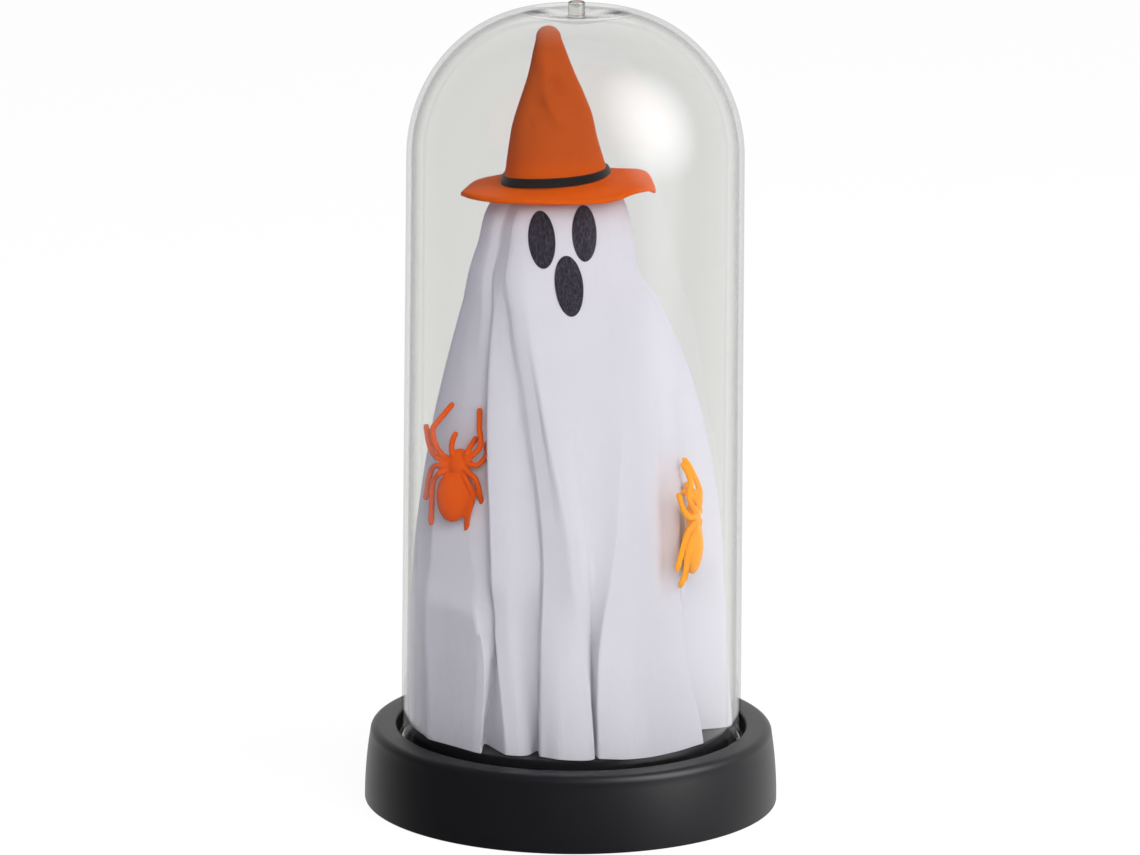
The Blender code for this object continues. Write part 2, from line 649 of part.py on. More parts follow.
def make_cover(finish):
    """Bottom cover: round plate, battery bay, screw seats, switch slot and its pins."""
    half_length = BAY_LENGTH / 2
    half_width = BAY_WIDTH / 2
    cover = turned(
        "bottom_cover",
        [(0, COVER_TOP_Z), (COVER_R, COVER_TOP_Z), (COVER_R, COVER_RECESS), (0, COVER_RECESS)],
        ROUND_STEPS,
        finish,
    )
    shell_low = COVER_TOP_Z - COVER_THICK / 2
    outer = (half_length + BAY_WALL, half_width + BAY_WALL)
    join(cover, box("bay_outer", (-outer[0], -outer[1], shell_low), (outer[0], outer[1], BAY_TOP_Z)))
    pocket_reach = TONGUE_REACH + 2 * CLEAR
    pocket_wall = pocket_reach + BAY_WALL
    pocket_top = COVER_TOP_Z + 2 * TONGUE_THICK + 3 * CLEAR
    for k, x in enumerate(tongue_places()):
        half = TONGUE_WIDTH / 2 + CLEAR + BAY_WALL
        low = (x - half, -half_width - pocket_wall, shell_low)
        high = (x + half, -half_width - BAY_WALL / 2, pocket_top + BAY_WALL)
        join(cover, box(f"pocket_outer_{k}", low, high))
    for k, spot in enumerate(cover_screw_places()):
        seat_r = SCREW_HEAD_R + CLEAR + SEAT_WALL
        join(cover, rod(f"seat_{k}", spot, seat_r, shell_low, COVER_TOP_Z + SEAT_RISE))
    for k, x in enumerate(switch_pin_places()):
        pin_top = COVER_TOP_Z + CLEAR + SWITCH_EAR_THICK + CLEAR
        join(cover, rod(f"pin_{k}", (x, SWITCH_Y), SWITCH_PIN_R, shell_low, pin_top))
    bay_low = COVER_RECESS - OVERRUN
    cut(
        cover,
        box("bay_inner", (-half_length, -half_width, bay_low), (half_length, half_width, BAY_CEILING_Z)),
    )
    for k, x in enumerate(tongue_places()):
        half = TONGUE_WIDTH / 2 + CLEAR
        low = (x - half, -half_width - pocket_reach, COVER_TOP_Z)
        high = (x + half, -half_width + OVERRUN, pocket_top)
        cut(cover, box(f"pocket_inner_{k}", low, high))
    for k, spot in enumerate(cover_screw_places()):
        head_top = COVER_RECESS + SCREW_HEAD_HEIGHT + CLEAR
        cut(cover, rod(f"seat_head_{k}", spot, SCREW_HEAD_R + CLEAR, bay_low, head_top))
        shaft_top = COVER_TOP_Z + SEAT_RISE + OVERRUN
        cut(cover, rod(f"seat_shaft_{k}", spot, SCREW_SHAFT_R + CLEAR, bay_low, shaft_top))
    slot_half = (SLIDER_STEM_LENGTH + SLIDER_TRAVEL) / 2 + SLIDER_PLAY
    slot_wide = SLIDER_STEM_WIDTH / 2 + SLIDER_PLAY
    cut(
        cover,
        box(
            "switch_slot",
            (-slot_half, SWITCH_Y - slot_wide, bay_low),
            (slot_half, SWITCH_Y + slot_wide, COVER_TOP_Z + OVERRUN),
        ),
    )
    for k, (x, y) in enumerate(wire_holes()):
        reach = BAY_WALL + 2 * CLEAR
        middle = x + math.copysign(BAY_WALL / 2, x)
        cut(cover, cross_rod(f"wire_hole_{k}", (middle, y, CELL_Z), WIRE_HOLE_R, reach))
    return cover


def cross_rod(name, centre, radius, length):
    """A cylinder along X, as a cutter."""
    shape = bmesh.new()
    turn = Matrix.Rotation(math.pi / 2, 4, "Y")
    bmesh.ops.create_cone(
        shape,
        cap_ends=True,
        segments=SMALL_STEPS,
        radius1=radius,
        radius2=radius,
        depth=length,
        matrix=Matrix.Translation(centre) @ turn,
    )
    return from_bmesh(shape, name)


def tongue_places():
    """The x of each of the door's tongues."""
    return [side * TONGUE_SPACING / 2 for side in (-1, 1)]


def wire_holes():
    """Where the leads leave the bay: the first cell's plus end and the last cell's minus end."""
    rows = bay_rows()
    return [(BAY_LENGTH / 2, rows[0]), (-BAY_LENGTH / 2, rows[-1])]


def make_door(finish):
    """Battery door, hung on its lower front edge by two tongues, in the bay's opening."""
    half_length = BAY_LENGTH / 2 - DOOR_GAP
    near = -BAY_WIDTH / 2 + DOOR_GAP
    far = BAY_WIDTH / 2 - DOOR_GAP
    hinge_y = -BAY_WIDTH / 2
    hinge = Vector((0, hinge_y, COVER_RECESS))
    door = box("battery_door", (-half_length, near, COVER_RECESS), (half_length, far, DOOR_TOP_Z), finish)
    tongue_low = COVER_TOP_Z + CLEAR
    for k, x in enumerate(tongue_places()):
        half = TONGUE_WIDTH / 2
        root_low = DOOR_TOP_Z - DOOR_THICK / 2
        root_high = tongue_low + TONGUE_THICK
        root = box(f"tongue_root_{k}", (x - half, near, root_low), (x + half, near + TONGUE_ROOT, root_high))
        join(door, root)
        tip = hinge_y - TONGUE_REACH
        inside = near + TONGUE_ROOT / 2
        join(door, box(f"tongue_{k}", (x - half, tip, tongue_low), (x + half, inside, root_high)))
    notch = box(
        "door_notch",
        (-NOTCH_WIDTH / 2, far - NOTCH_DEPTH, COVER_RECESS - OVERRUN),
        (NOTCH_WIDTH / 2, far + OVERRUN, DOOR_TOP_Z + OVERRUN),
    )
    cut(door, notch)
    pivot = bpy.data.objects.new("battery_door_axis", None)
    PARTS.objects.link(pivot)
    pivot.location = hinge
    door.parent = pivot
    door.matrix_parent_inverse = Matrix.Translation(-hinge)
    return door


def screw_piece(name, spot, head_z, shaft_r, head_r, head_height, reach, finish):
    """A pan-head screw pointing up, its slotted head's underside outward at head_z."""
    shoulder = head_z + head_height
    profile = [
        (0, shoulder + reach),
        (shaft_r / 2, shoulder + reach),
        (shaft_r, shoulder + reach - shaft_r),
        (shaft_r, shoulder),
        (head_r, shoulder),
        (head_r, head_z + head_height / 3),
        (head_r - head_height / 3, head_z),
        (0, head_z),
    ]
    screw = turned(name, profile, SCREW_STEPS, finish, spot)
    slot_low = (spot[0] - head_r - OVERRUN, spot[1] - SCREW_SLOT_HALF, head_z - OVERRUN)
    slot_high = (spot[0] + head_r + OVERRUN, spot[1] + SCREW_SLOT_HALF, head_z + SCREW_SLOT_DEPTH)
    return cut(screw, box(f"{name}_slot", slot_low, slot_high))


def make_screws():
    """Cover screws, LED board screws and the post's screw."""
    for k, spot in enumerate(cover_screw_places()):
        name = f"cover_screw_{k + 1}"
        finish = material(f"screw_steel_{k + 1}", BARE_STEEL, 0.3, 1.0)
        reach = SEAT_RISE + COVER_THICK - SCREW_HEAD_HEIGHT + SCREW_REACH
        screw_piece(name, spot, COVER_RECESS, SCREW_SHAFT_R, SCREW_HEAD_R, SCREW_HEAD_HEIGHT, reach, finish)
    head_z = BOARD_TOP_Z - BOARD_THICK - CLEAR - BOARD_SCREW_HEAD_HEIGHT
    for k, spot in enumerate(board_screw_places()):
        screw_piece(
            f"board_screw_{k + 1}",
            spot,
            head_z,
            BOARD_SCREW_R,
            BOARD_SCREW_HEAD_R,
            BOARD_SCREW_HEAD_HEIGHT,
            BOARD_THICK + BOARD_SCREW_REACH,
            material(f"board_screw_steel_{k + 1}", BARE_STEEL, 0.3, 1.0),
        )
    head_z = UNDER_PLATFORM_Z - CLEAR - SCREW_HEAD_HEIGHT
    reach = HOUSING_WALL + POST_SCREW_REACH
    finish = material("post_screw_steel", BARE_STEEL, 0.3, 1.0)
    spot = (HEAD_X, 0)
    screw_piece("post_screw", spot, head_z, SCREW_SHAFT_R, SCREW_HEAD_R, SCREW_HEAD_HEIGHT, reach, finish)


def cell_facing(k):
    """+1 where a cell's plus end points to +X; the cells alternate."""
    return 1 if k % 2 == 0 else -1


def make_cells():
    """Three AAA cells in series, with a spring at each minus end and plates at both ends."""
    plus_end = BAY_LENGTH / 2 - CONTACT_THICK - 2 * CLEAR
    for k, y in enumerate(bay_rows()):
        facing = cell_facing(k)
        face = [
            (0, plus_end),
            (CELL_NUB_R, plus_end),
            (CELL_NUB_R, plus_end - CELL_NUB_LENGTH),
            (CELL_R - CELL_EDGE, plus_end - CELL_NUB_LENGTH),
            (CELL_R, plus_end - CELL_NUB_LENGTH - CELL_EDGE),
            (CELL_R, plus_end - CELL_NUB_LENGTH - CELL_LENGTH),
            (0, plus_end - CELL_NUB_LENGTH - CELL_LENGTH),
        ]
        finish = material(f"cell_sleeve_{k + 1}", CELL_SLEEVE, 0.35)
        cell = turned(f"battery_{k + 1}", face, CELL_STEPS, finish)
        cell.rotation_euler = (0, facing * math.pi / 2, 0)
        cell.location = (0, y, CELL_Z)
        spring_low = -BAY_LENGTH / 2 + 2 * CLEAR + CONTACT_THICK + SPRING_WIRE_R
        spring_high = plus_end - CELL_NUB_LENGTH - CELL_LENGTH - CLEAR - SPRING_WIRE_R
        points = []
        count = SPRING_TURNS * SPRING_POINTS_PER_TURN
        for step in range(count + 1):
            share = step / count
            angle = 2 * math.pi * SPRING_TURNS * share
            radius = SPRING_R + (SPRING_TIP_R - SPRING_R) * share
            x = facing * (spring_low + (spring_high - spring_low) * share)
            points.append((x, y + radius * math.cos(angle), CELL_Z + radius * math.sin(angle)))
        finish = material(f"spring_wire_{k + 1}", BARE_STEEL, 0.3, 1.0)
        tube(f"contact_spring_{k + 1}", points, SPRING_WIRE_R, finish, 1)


def make_contacts():
    """Contact plates at the bay's ends: one for each lead and two that bridge a pair of cells."""
    rows = bay_rows()
    half = CONTACT_WIDTH / 2
    spans = [
        ("contact_plate_1", 1, rows[0] - half, rows[0] + half),
        ("contact_plate_2", -1, rows[0] - half, rows[1] + half),
        ("contact_plate_3", 1, rows[1] - half, rows[2] + half),
        ("contact_plate_4", -1, rows[2] - half, rows[2] + half),
    ]
    for name, side, low_y, high_y in spans:
        ends = sorted((side * (BAY_LENGTH / 2 - CLEAR), side * (BAY_LENGTH / 2 - CLEAR - CONTACT_THICK)))
        low = (ends[0], low_y, CELL_Z - CONTACT_HEIGHT / 2)
        high = (ends[1], high_y, CELL_Z + CONTACT_HEIGHT / 2)
        box(name, low, high, material(f"{name}_steel", BARE_STEEL, 0.3, 1.0))


def switch_pin_places():
    """The x of the two pins that hold the switch by its ears."""
    return [side * (SWITCH_LENGTH / 2 + SWITCH_EAR / 2) for side in (-1, 1)]


def make_switch():
    """Slide switch: hollow body held on two pins, and a slider whose stem fills the slot."""
    half_length = SWITCH_LENGTH / 2
    half_width = SWITCH_WIDTH / 2
    foot = COVER_TOP_Z + CLEAR
    top = foot + SWITCH_HEIGHT
    low = (-half_length, SWITCH_Y - half_width, foot)
    high = (half_length, SWITCH_Y + half_width, top)
    body = box("switch_body", low, high, material("switch_black", BLACK_ABS, 0.5))
    ear_half = half_length + SWITCH_EAR
    ear_low = (-ear_half, SWITCH_Y - half_width + SWITCH_WALL, foot)
    ear_high = (ear_half, SWITCH_Y + half_width - SWITCH_WALL, foot + SWITCH_EAR_THICK)
    join(body, box("switch_ears", ear_low, ear_high))
    inside_half = half_length - SWITCH_WALL
    inside_wide = half_width - SWITCH_WALL
    cavity_top = foot + SLIDER_HEIGHT + SLIDER_PLAY
    cut(
        body,
        box(
            "switch_cavity",
            (-inside_half, SWITCH_Y - inside_wide, foot - OVERRUN),
            (inside_half, SWITCH_Y + inside_wide, cavity_top),
        ),
    )
    for k, x in enumerate(switch_pin_places()):
        ear_top = foot + SWITCH_EAR_THICK + OVERRUN
        cut(body, rod(f"ear_hole_{k}", (x, SWITCH_Y), SWITCH_PIN_R + CLEAR, foot - OVERRUN, ear_top))
    rest_x = -SLIDER_TRAVEL / 2
    slide_wide = inside_wide - SLIDER_PLAY
    slider = box(
        "switch_slider",
        (rest_x - SLIDER_LENGTH / 2, SWITCH_Y - slide_wide, foot),
        (rest_x + SLIDER_LENGTH / 2, SWITCH_Y + slide_wide, foot + SLIDER_HEIGHT),
        material("slider_black", BLACK_ABS, 0.5),
    )
    stem = box(
        "slider_stem",
        (rest_x - SLIDER_STEM_LENGTH / 2, SWITCH_Y - SLIDER_STEM_WIDTH / 2, SLIDER_TIP_RECESS),
        (rest_x + SLIDER_STEM_LENGTH / 2, SWITCH_Y + SLIDER_STEM_WIDTH / 2, foot + SLIDER_HEIGHT / 2),
    )
    join(slider, stem)


def make_light():
    """LED board under the platform and the LED that stands through it."""
    half_length = BOARD_LENGTH / 2
    low = (LED_X - BOARD_WIDTH / 2, -half_length, BOARD_TOP_Z - BOARD_THICK)
    high = (LED_X + BOARD_WIDTH / 2, half_length, BOARD_TOP_Z)
    board = box("led_board", low, high, material("board_green", BOARD_GREEN, 0.4))
    for k, spot in enumerate(board_screw_places()):
        hole = rod(f"board_hole_{k}", spot, BOARD_SCREW_R + CLEAR, low[2] - OVERRUN, high[2] + OVERRUN)
        cut(board, hole)
    foot = BOARD_TOP_Z + CLEAR
    collar = foot + LED_FLANGE_THICK
    straight = foot + LED_HEIGHT - LED_R
    profile = [(0, foot + LED_HEIGHT)]
    for k in range(1, EDGE_STEPS + 1):
        angle = math.pi / 2 * k / EDGE_STEPS
        profile.append((LED_R * math.sin(angle), straight + LED_R * math.cos(angle)))
    profile += [(LED_R, collar), (LED_FLANGE_R, collar), (LED_FLANGE_R, foot), (0, foot)]
    turned("led", profile, SMALL_STEPS, material("led_lens", LED_LENS, 0.15, transmission=0.6), (LED_X, 0))


def make_wires():
    """Three inner leads: cell plus to the board, cell minus to the switch, switch to the board."""
    rows = bay_rows()
    start_x = BAY_LENGTH / 2 + CLEAR / 2
    board_low = BOARD_TOP_Z - BOARD_THICK - CLEAR
    board_y = BOARD_LENGTH / 2 - 2 * WIRE_R
    board_x = LED_X + BOARD_WIDTH / 2 - 2 * WIRE_R
    run_x = BAY_LENGTH / 2 + BAY_WALL + 6 * WIRE_R
    crest_z = (BAY_TOP_Z + board_low) / 2
    switch_top = COVER_TOP_Z + CLEAR + SWITCH_HEIGHT + CLEAR
    terminal_x = SWITCH_LENGTH / 4
    side_y = BAY_WIDTH / 2 + BAY_WALL + 6 * WIRE_R
    routes = [
        (
            "wire_battery_plus",
            WIRE_RED,
            (
                (start_x, rows[0], CELL_Z),
                (run_x - 2 * WIRE_R, rows[0], CELL_Z),
                (run_x + WIRE_R, rows[0] + 2 * WIRE_R, CELL_Z + 4 * WIRE_R),
                (run_x - 2 * WIRE_R, rows[0] + 3 * WIRE_R, crest_z - WIRE_R),
                (board_x + 4 * WIRE_R, -board_y + 2 * WIRE_R, crest_z),
                (board_x + WIRE_R, -board_y, crest_z),
            ),
        ),
        (
            "wire_battery_minus",
            WIRE_BLACK,
            (
                (-start_x, rows[-1], CELL_Z),
                (-run_x + 2 * WIRE_R, rows[-1], CELL_Z),
                (-run_x - WIRE_R, rows[-1] + 4 * WIRE_R, CELL_Z + WIRE_R),
                (-run_x + 4 * WIRE_R, side_y - 3 * WIRE_R, CELL_Z + 2 * WIRE_R),
                (-BAY_LENGTH / 4, side_y + 6 * WIRE_R, switch_top + 6 * WIRE_R),
                (-terminal_x - 3 * WIRE_R, SWITCH_Y - 2 * WIRE_R, switch_top + 7 * WIRE_R),
                (-terminal_x, SWITCH_Y, switch_top + 3 * WIRE_R),
                (-terminal_x, SWITCH_Y, switch_top),
            ),
        ),
        (
            "wire_switch_board",
            WIRE_RED,
            (
                (terminal_x, SWITCH_Y, switch_top),
                (terminal_x, SWITCH_Y, switch_top + 3 * WIRE_R),
                (terminal_x + 3 * WIRE_R, SWITCH_Y - 3 * WIRE_R, switch_top + 8 * WIRE_R),
                (LED_X, side_y + 3 * WIRE_R, crest_z - 2 * WIRE_R),
                (LED_X + 4 * WIRE_R, side_y - 8 * WIRE_R, crest_z),
                (board_x, board_y + 4 * WIRE_R, crest_z),
                (board_x, board_y, crest_z),
            ),
        ),
    ]
    for name, colour, route in routes:
        points = [through(route, k / WIRE_STEPS) for k in range(WIRE_STEPS + 1)]
        tube(name, points, WIRE_R, material(f"{name}_pvc", colour, 0.45))


def make_stand():
    """Post with its foot on the platform, and the foam ball that it carries."""
    foot = PLATFORM_Z + CLEAR
    bore_top = HEAD_Z - HEAD_R + POST_IN_HEAD
    top = bore_top - CLEAR
    profile = [
        (0, top),
        (POST_R, top),
        (POST_R, foot + POST_FOOT_THICK),
        (POST_FOOT_R, foot + POST_FOOT_THICK),
        (POST_FOOT_R, foot),
        (0, foot),
    ]
    spot = (HEAD_X, 0)
    post = turned("support_post", profile, SMALL_STEPS, material("post_white", WHITE_FOAM, 0.5), spot)
    pilot_top = PLATFORM_Z + POST_SCREW_REACH + PILOT_SPARE
    cut(post, rod("post_pilot", spot, SCREW_SHAFT_R + CLEAR, foot - OVERRUN, pilot_top))
    centre = Matrix.Translation((HEAD_X, 0, HEAD_Z))
    foam = material("foam_white", WHITE_FOAM, 0.9)
    head = smooth(ball("head_ball", centre, (HEAD_R,) * 3, HEAD_SEGMENTS, HEAD_RINGS, foam))
    bore_low = HEAD_Z - HEAD_R - OVERRUN
    cut(head, rod("head_bore", spot, POST_R + CLEAR, bore_low, bore_top))


def cloth_line_point(line, share):
    """Where one fold line stands at a height share of the cloth, as (x, y)."""
    bearings, depths = line
    stations = zip(STATION_SHARES, reversed(bearings), reversed((0.0, *depths)))
    bearing, depth = row_of(list(stations), share)
    bearing = math.radians(bearing)
    half_width, half_depth, centre = row_of(BODY_SHARES, share)
    reach = (CLOTH_HEM_R + (CLOTH_HEAD_R - CLOTH_HEM_R) * share**2) * (1 - depth)
    x = HEAD_X * centre + reach * half_width * math.cos(bearing)
    return x, -reach * half_depth * math.sin(bearing)


def cloth_ring(share):
    """One level ring of the cloth: a closed smooth curve through all the fold lines."""
    marks = [cloth_line_point(line, share) for line in FOLD_LINE_SHARES.values()]
    count = len(marks)
    ring = []
    for i in range(count):
        p0, p1, p2, p3 = (Vector(marks[(i + k) % count]) for k in (-1, 0, 1, 2))
        for step in range(FOLD_STEPS):
            f = step / FOLD_STEPS
            bend = (2 * p0 - 5 * p1 + 4 * p2 - p3) * f**2 + (3 * p1 - p0 - 3 * p2 + p3) * f**3
            ring.append(0.5 * (2 * p1 + (p2 - p0) * f + bend))
    return ring


def make_cloth():
    """Cloth over the head: rings of folds from the hem up, closed over the ball, then thickened."""
    shape = bmesh.new()
    rows = []
    for share in ROW_SHARES:
        height = CLOTH_HEM_Z + CLOTH_HEIGHT * share
        rows.append([shape.verts.new((p.x, p.y, height)) for p in cloth_ring(share)])
    count = len(rows[0])
    brow_z = HEAD_Z + math.sqrt(CLOTH_HEAD_R**2 - BRIM_OPENING_R**2)
    brow = []
    for vert in rows[-1]:
        flat = Vector((vert.co.x - HEAD_X, vert.co.y))
        flat *= (BRIM_OPENING_R - CLEAR) / flat.length
        brow.append(shape.verts.new((HEAD_X + flat.x, flat.y, brow_z)))
    rows.append(brow)
    for lower, upper in zip(rows, rows[1:]):
        for i in range(count):
            j = (i + 1) % count
            shape.faces.new((lower[j], lower[i], upper[i], upper[j]))
    crown = shape.verts.new((HEAD_X, 0, HEAD_Z + CLOTH_HEAD_R))
    for i in range(count):
        shape.faces.new((brow[(i + 1) % count], brow[i], crown))
    cloth = from_bmesh(shape, "ghost_cloth", material("white_cloth", WHITE_CLOTH, 0.85))
    smooth(cloth, math.radians(70))
    wall = cloth.modifiers.new("Thickness", "SOLIDIFY")
    wall.thickness = CLOTH_THICK
    wall.offset = -1.0
    return cloth


def outside_tree(cloth):
    """A search tree over the cloth's outer side, before its thickness."""
    shape = bmesh.new()
    shape.from_mesh(cloth.data)
    tree = BVHTree.FromBMesh(shape)
    shape.free()
    return tree


def make_face(tree):
    """Felt eyes and mouth: each an oval grid laid on the cloth's front, then thickened outward."""
    for name, across, up, half_width, half_height, lean in FACE_PATCHES:
        shape = bmesh.new()
        back = []
        front = []
        spots = [(0.0, 0.0)]
        for ring in range(1, FELT_RINGS + 1):
            for k in range(FELT_SEGMENTS):
                angle = 2 * math.pi * k / FELT_SEGMENTS
                spots.append((ring / FELT_RINGS * math.cos(angle), ring / FELT_RINGS * math.sin(angle)))
        for u, v in spots:
            x = HEAD_X + across + half_width * u * math.cos(lean) + half_height * v * math.sin(-lean)
            z = HEAD_Z + up + half_height * v * math.cos(lean) + half_width * u * math.sin(lean)
            hit, normal, _, _ = tree.ray_cast(Vector((x, -DOME_R, z)), Vector((0, 1, 0)))
            outward = (normal + Vector((0, -1, 0))).normalized()
            back.append(shape.verts.new(hit + outward * FELT_GAP))
            front.append(shape.verts.new(hit + outward * (FELT_GAP + FELT_THICK)))
        for side, flip in ((front, False), (back, True)):
            for k in range(FELT_SEGMENTS):
                n = (k + 1) % FELT_SEGMENTS
                corners = [side[0], side[1 + k], side[1 + n]]
                shape.faces.new(reversed(corners) if flip else corners)
                for ring in range(FELT_RINGS - 1):
                    a = 1 + ring * FELT_SEGMENTS
                    b = a + FELT_SEGMENTS
                    corners = [side[a + k], side[b + k], side[b + n], side[a + n]]
                    shape.faces.new(reversed(corners) if flip else corners)
        rim = 1 + (FELT_RINGS - 1) * FELT_SEGMENTS
        for k in range(FELT_SEGMENTS):
            n = (k + 1) % FELT_SEGMENTS
            shape.faces.new((front[rim + k], back[rim + k], back[rim + n], front[rim + n]))
        smooth(from_bmesh(shape, name, material(f"{name}_felt", BLACK_FELT, 0.8)))


def hat_matrix():
    """The hat's own frame: origin at the brim's middle, leaning about the head's centre."""
    lean = Matrix.Rotation(-HAT_TILT, 4, "Y")
    return Matrix.Translation((HEAD_X, 0, HEAD_Z)) @ lean @ Matrix.Translation((0, 0, BRIM_RISE))


def brim_lift(radius, angle):
    """How far the brim's wave lifts a point, growing from the opening to the edge."""
    share = max(0.0, (radius - CONE_R) / (BRIM_R - CONE_R))
    return BRIM_WAVE * share**2 * math.sin(BRIM_WAVES * angle + BRIM_WAVE_TURN)


def hat_from_profile(name, profile, finish):
    """Turns a profile, waves the brim and sets the hat on the head."""
    blank = turned(f"{name}_blank", profile, HAT_STEPS)
    mesh = evaluated_mesh(blank)
    bpy.data.objects.remove(blank, do_unlink=True)
    for vert in mesh.vertices:
        radius = math.hypot(vert.co.x, vert.co.y)
        vert.co.z += brim_lift(radius, math.atan2(-vert.co.y, vert.co.x))
    mesh.transform(hat_matrix())
    return smooth(place(mesh, name, finish))


def make_hat():
    """Moulded hat, hollow under its cone, and the ribbon band at the cone's foot."""
    tip_foot = HAT_HEIGHT - CONE_TIP_R
    half = BRIM_THICK / 2
    profile = [(0, HAT_HEIGHT)]
    for across, drop in reversed(TIP_SHARES):
        profile.append((CONE_TIP_R * across, HAT_HEIGHT - CONE_TIP_R * (1 - drop)))
    slope = (CONE_R - CONE_TIP_R) / tip_foot
    for share in reversed(CONE_SHARES):
        height = tip_foot * share
        profile.append((CONE_R - slope * height, height))
    profile += [
        (CONE_R, half),
        ((CONE_R + BRIM_R) / 2, half),
        (BRIM_R - half, half),
        (BRIM_R, 0),
        (BRIM_R - half, -half),
        ((CONE_R + BRIM_R) / 2, -half),
        (BRIM_OPENING_R, -half),
    ]
    for share in CONE_SHARES:
        height = tip_foot * share
        profile.append((CONE_R - slope * height - HAT_WALL, height))
    profile.append((0, tip_foot - HAT_WALL))
    hat_from_profile("hat_body", profile, material("orange_foam", ORANGE_FOAM, 0.6))
    low = half + BAND_RISE
    high = low + BAND_HEIGHT
    low_r = CONE_R - slope * low + CLEAR
    high_r = CONE_R - slope * high + CLEAR
    band = [
        (high_r, high),
        (high_r + BAND_THICK, high),
        (low_r + BAND_THICK, low),
        (low_r, low),
        (high_r, high),
    ]
    hat_from_profile("hat_band", band, material("black_ribbon", BLACK_RIBBON, 0.5))


def pushed_out(tree, point, lift):
    """The point, or where it lies closer to the cloth's outer side than the lift, raised to it."""
    hit, normal, _, _ = tree.find_nearest(point)
    away = point - hit
    if away.dot(normal) <= 0:
        return hit + normal * lift
    if away.length >= lift:
        return point
    return hit + away.normalized() * lift


def kept_inside(point, radius):
    """The point, or where a limb there would touch the dome, drawn in toward the axis."""
    limit = SHOULDER_R - DOME_WALL - SPIDER_WALL_GAP - radius
    share = min(1.0, limit / math.hypot(point.x, point.y))
    return Vector((point.x * share, point.y * share, point.z))


def spider_limb(shares, count, matrix, spread, tree, radius):
    """A limb's centre line: up to its knee, down to its toe, and bent where the cloth is."""
    scale = BELLY_HALF_LENGTH
    spots = []
    for k in range(count):
        t = k / (count - 1)
        flat = through([(u * spread * scale, v * scale, 0) for u, v in shares], t)
        rise = SPIDER_BODY_RISE + SPIDER_KNEE_RISE * math.sin(math.pi * t) - SPIDER_TOE_DROP * t**2
        free = kept_inside(matrix @ Vector((flat.x, flat.y, rise)), radius)
        spots.append(pushed_out(tree, free, radius + CLEAR))
    return spots


def steps_out(shape, tree, outward):
    """How many small steps outward bring a shape clear of the cloth; the shape is used up."""
    step = Matrix.Translation(outward * CLEAR)
    count = 0
    while BVHTree.FromBMesh(shape).overlap(tree):
        shape.transform(step)
        count += 1
    shape.free()
    return count


def spider_frame(tree, waist, facing, nod, roll):
    """The spider's own frame, +Z out of the cloth, where its belly and head are just clear of it."""
    outward = Vector((math.sin(facing) * math.cos(nod), -math.cos(facing) * math.cos(nod), math.sin(nod)))
    right = Vector((0, 0, 1)).cross(outward).normalized()
    axes = Matrix((right, outward.cross(right), outward)).transposed().to_4x4()
    across, forward, up = waist
    spot = (CLOTH_HEM_R * across, -CLOTH_HEM_R * forward, CLOTH_HEM_Z + CLOTH_HEIGHT * up)
    start = Vector(spot) + outward * SPIDER_SEARCH
    hit, _, _, _ = tree.ray_cast(start, -outward)
    frame = Matrix.Translation(hit) @ axes @ Matrix.Rotation(-roll, 4, "Z")
    body = bmesh.new()
    for radii, v in ((SPIDER_BELLY, -BELLY_BACK), (SPIDER_HEAD, HEAD_FORWARD)):
        at = frame @ Matrix.Translation((0, v, SPIDER_BODY_RISE)) @ Matrix.Diagonal((*radii, 1))
        bmesh.ops.create_uvsphere(body, u_segments=SMALL_STEPS, v_segments=SMALL_STEPS, radius=1, matrix=at)
    count = steps_out(body, tree, outward) + 1
    return Matrix.Translation(outward * CLEAR * count) @ frame, outward


def make_spiders(tree):
    """Spiders: belly, head, palps and eight legs joined into one moulding each."""
    places = (
        ("spider_left", DEEP_ORANGE, LEFT_WAIST_SHARES, LEFT_SPIDER_TURN, LEFT_SPREAD_SHARES),
        ("spider_right", BRIGHT_ORANGE, RIGHT_WAIST_SHARES, RIGHT_SPIDER_TURN, RIGHT_SPREAD_SHARES),
    )
    for name, colour, waist, turn, spreads in places:
        matrix, outward = spider_frame(tree, waist, *turn)
        belly_at = matrix @ Matrix.Translation((0, -BELLY_BACK, SPIDER_BODY_RISE))
        blank = ball(f"{name}_blank", belly_at, SPIDER_BELLY, BELLY_SEGMENTS, BELLY_RINGS)
        head_at = matrix @ Matrix.Translation((0, HEAD_FORWARD, SPIDER_BODY_RISE))
        join(blank, ball(f"{name}_head", head_at, SPIDER_HEAD, BELLY_SEGMENTS - 2, BELLY_RINGS - 2))
        for side, spread in zip((-1, 1), spreads):
            for k, shares in enumerate(LEG_SHARES):
                path = spider_limb(shares, LEG_POINTS, matrix, side * spread, tree, SPIDER_LEG_R)
                join(blank, tube(f"{name}_leg_{side}_{k}", path, SPIDER_LEG_R, None, 1))
            path = spider_limb(PALP_SHARES, PALP_POINTS, matrix, side, tree, SPIDER_PALP_R)
            join(blank, tube(f"{name}_palp_{side}", path, SPIDER_PALP_R, None, 1))
        mesh = evaluated_mesh(blank)
        bpy.data.objects.remove(blank, do_unlink=True)
        shape = bmesh.new()
        shape.from_mesh(mesh)
        lift = steps_out(shape, tree, outward)
        mesh.transform(Matrix.Translation(outward * CLEAR * lift))
        smooth(place(mesh, name, material(f"{name}_abs", colour, 0.35)))


def main():
    """Makes every piece, from the base up."""
    make_housing()
    make_cover(material("cover_black", BLACK_ABS, 0.55))
    make_door(material("door_black", BLACK_ABS, 0.55))
    make_screws()
    make_cells()
    make_contacts()
    make_switch()
    make_light()
    make_wires()
    make_stand()
    cloth = make_cloth()
    tree = outside_tree(cloth)
    make_face(tree)
    make_spiders(tree)
    make_hat()
    make_dome()


main()
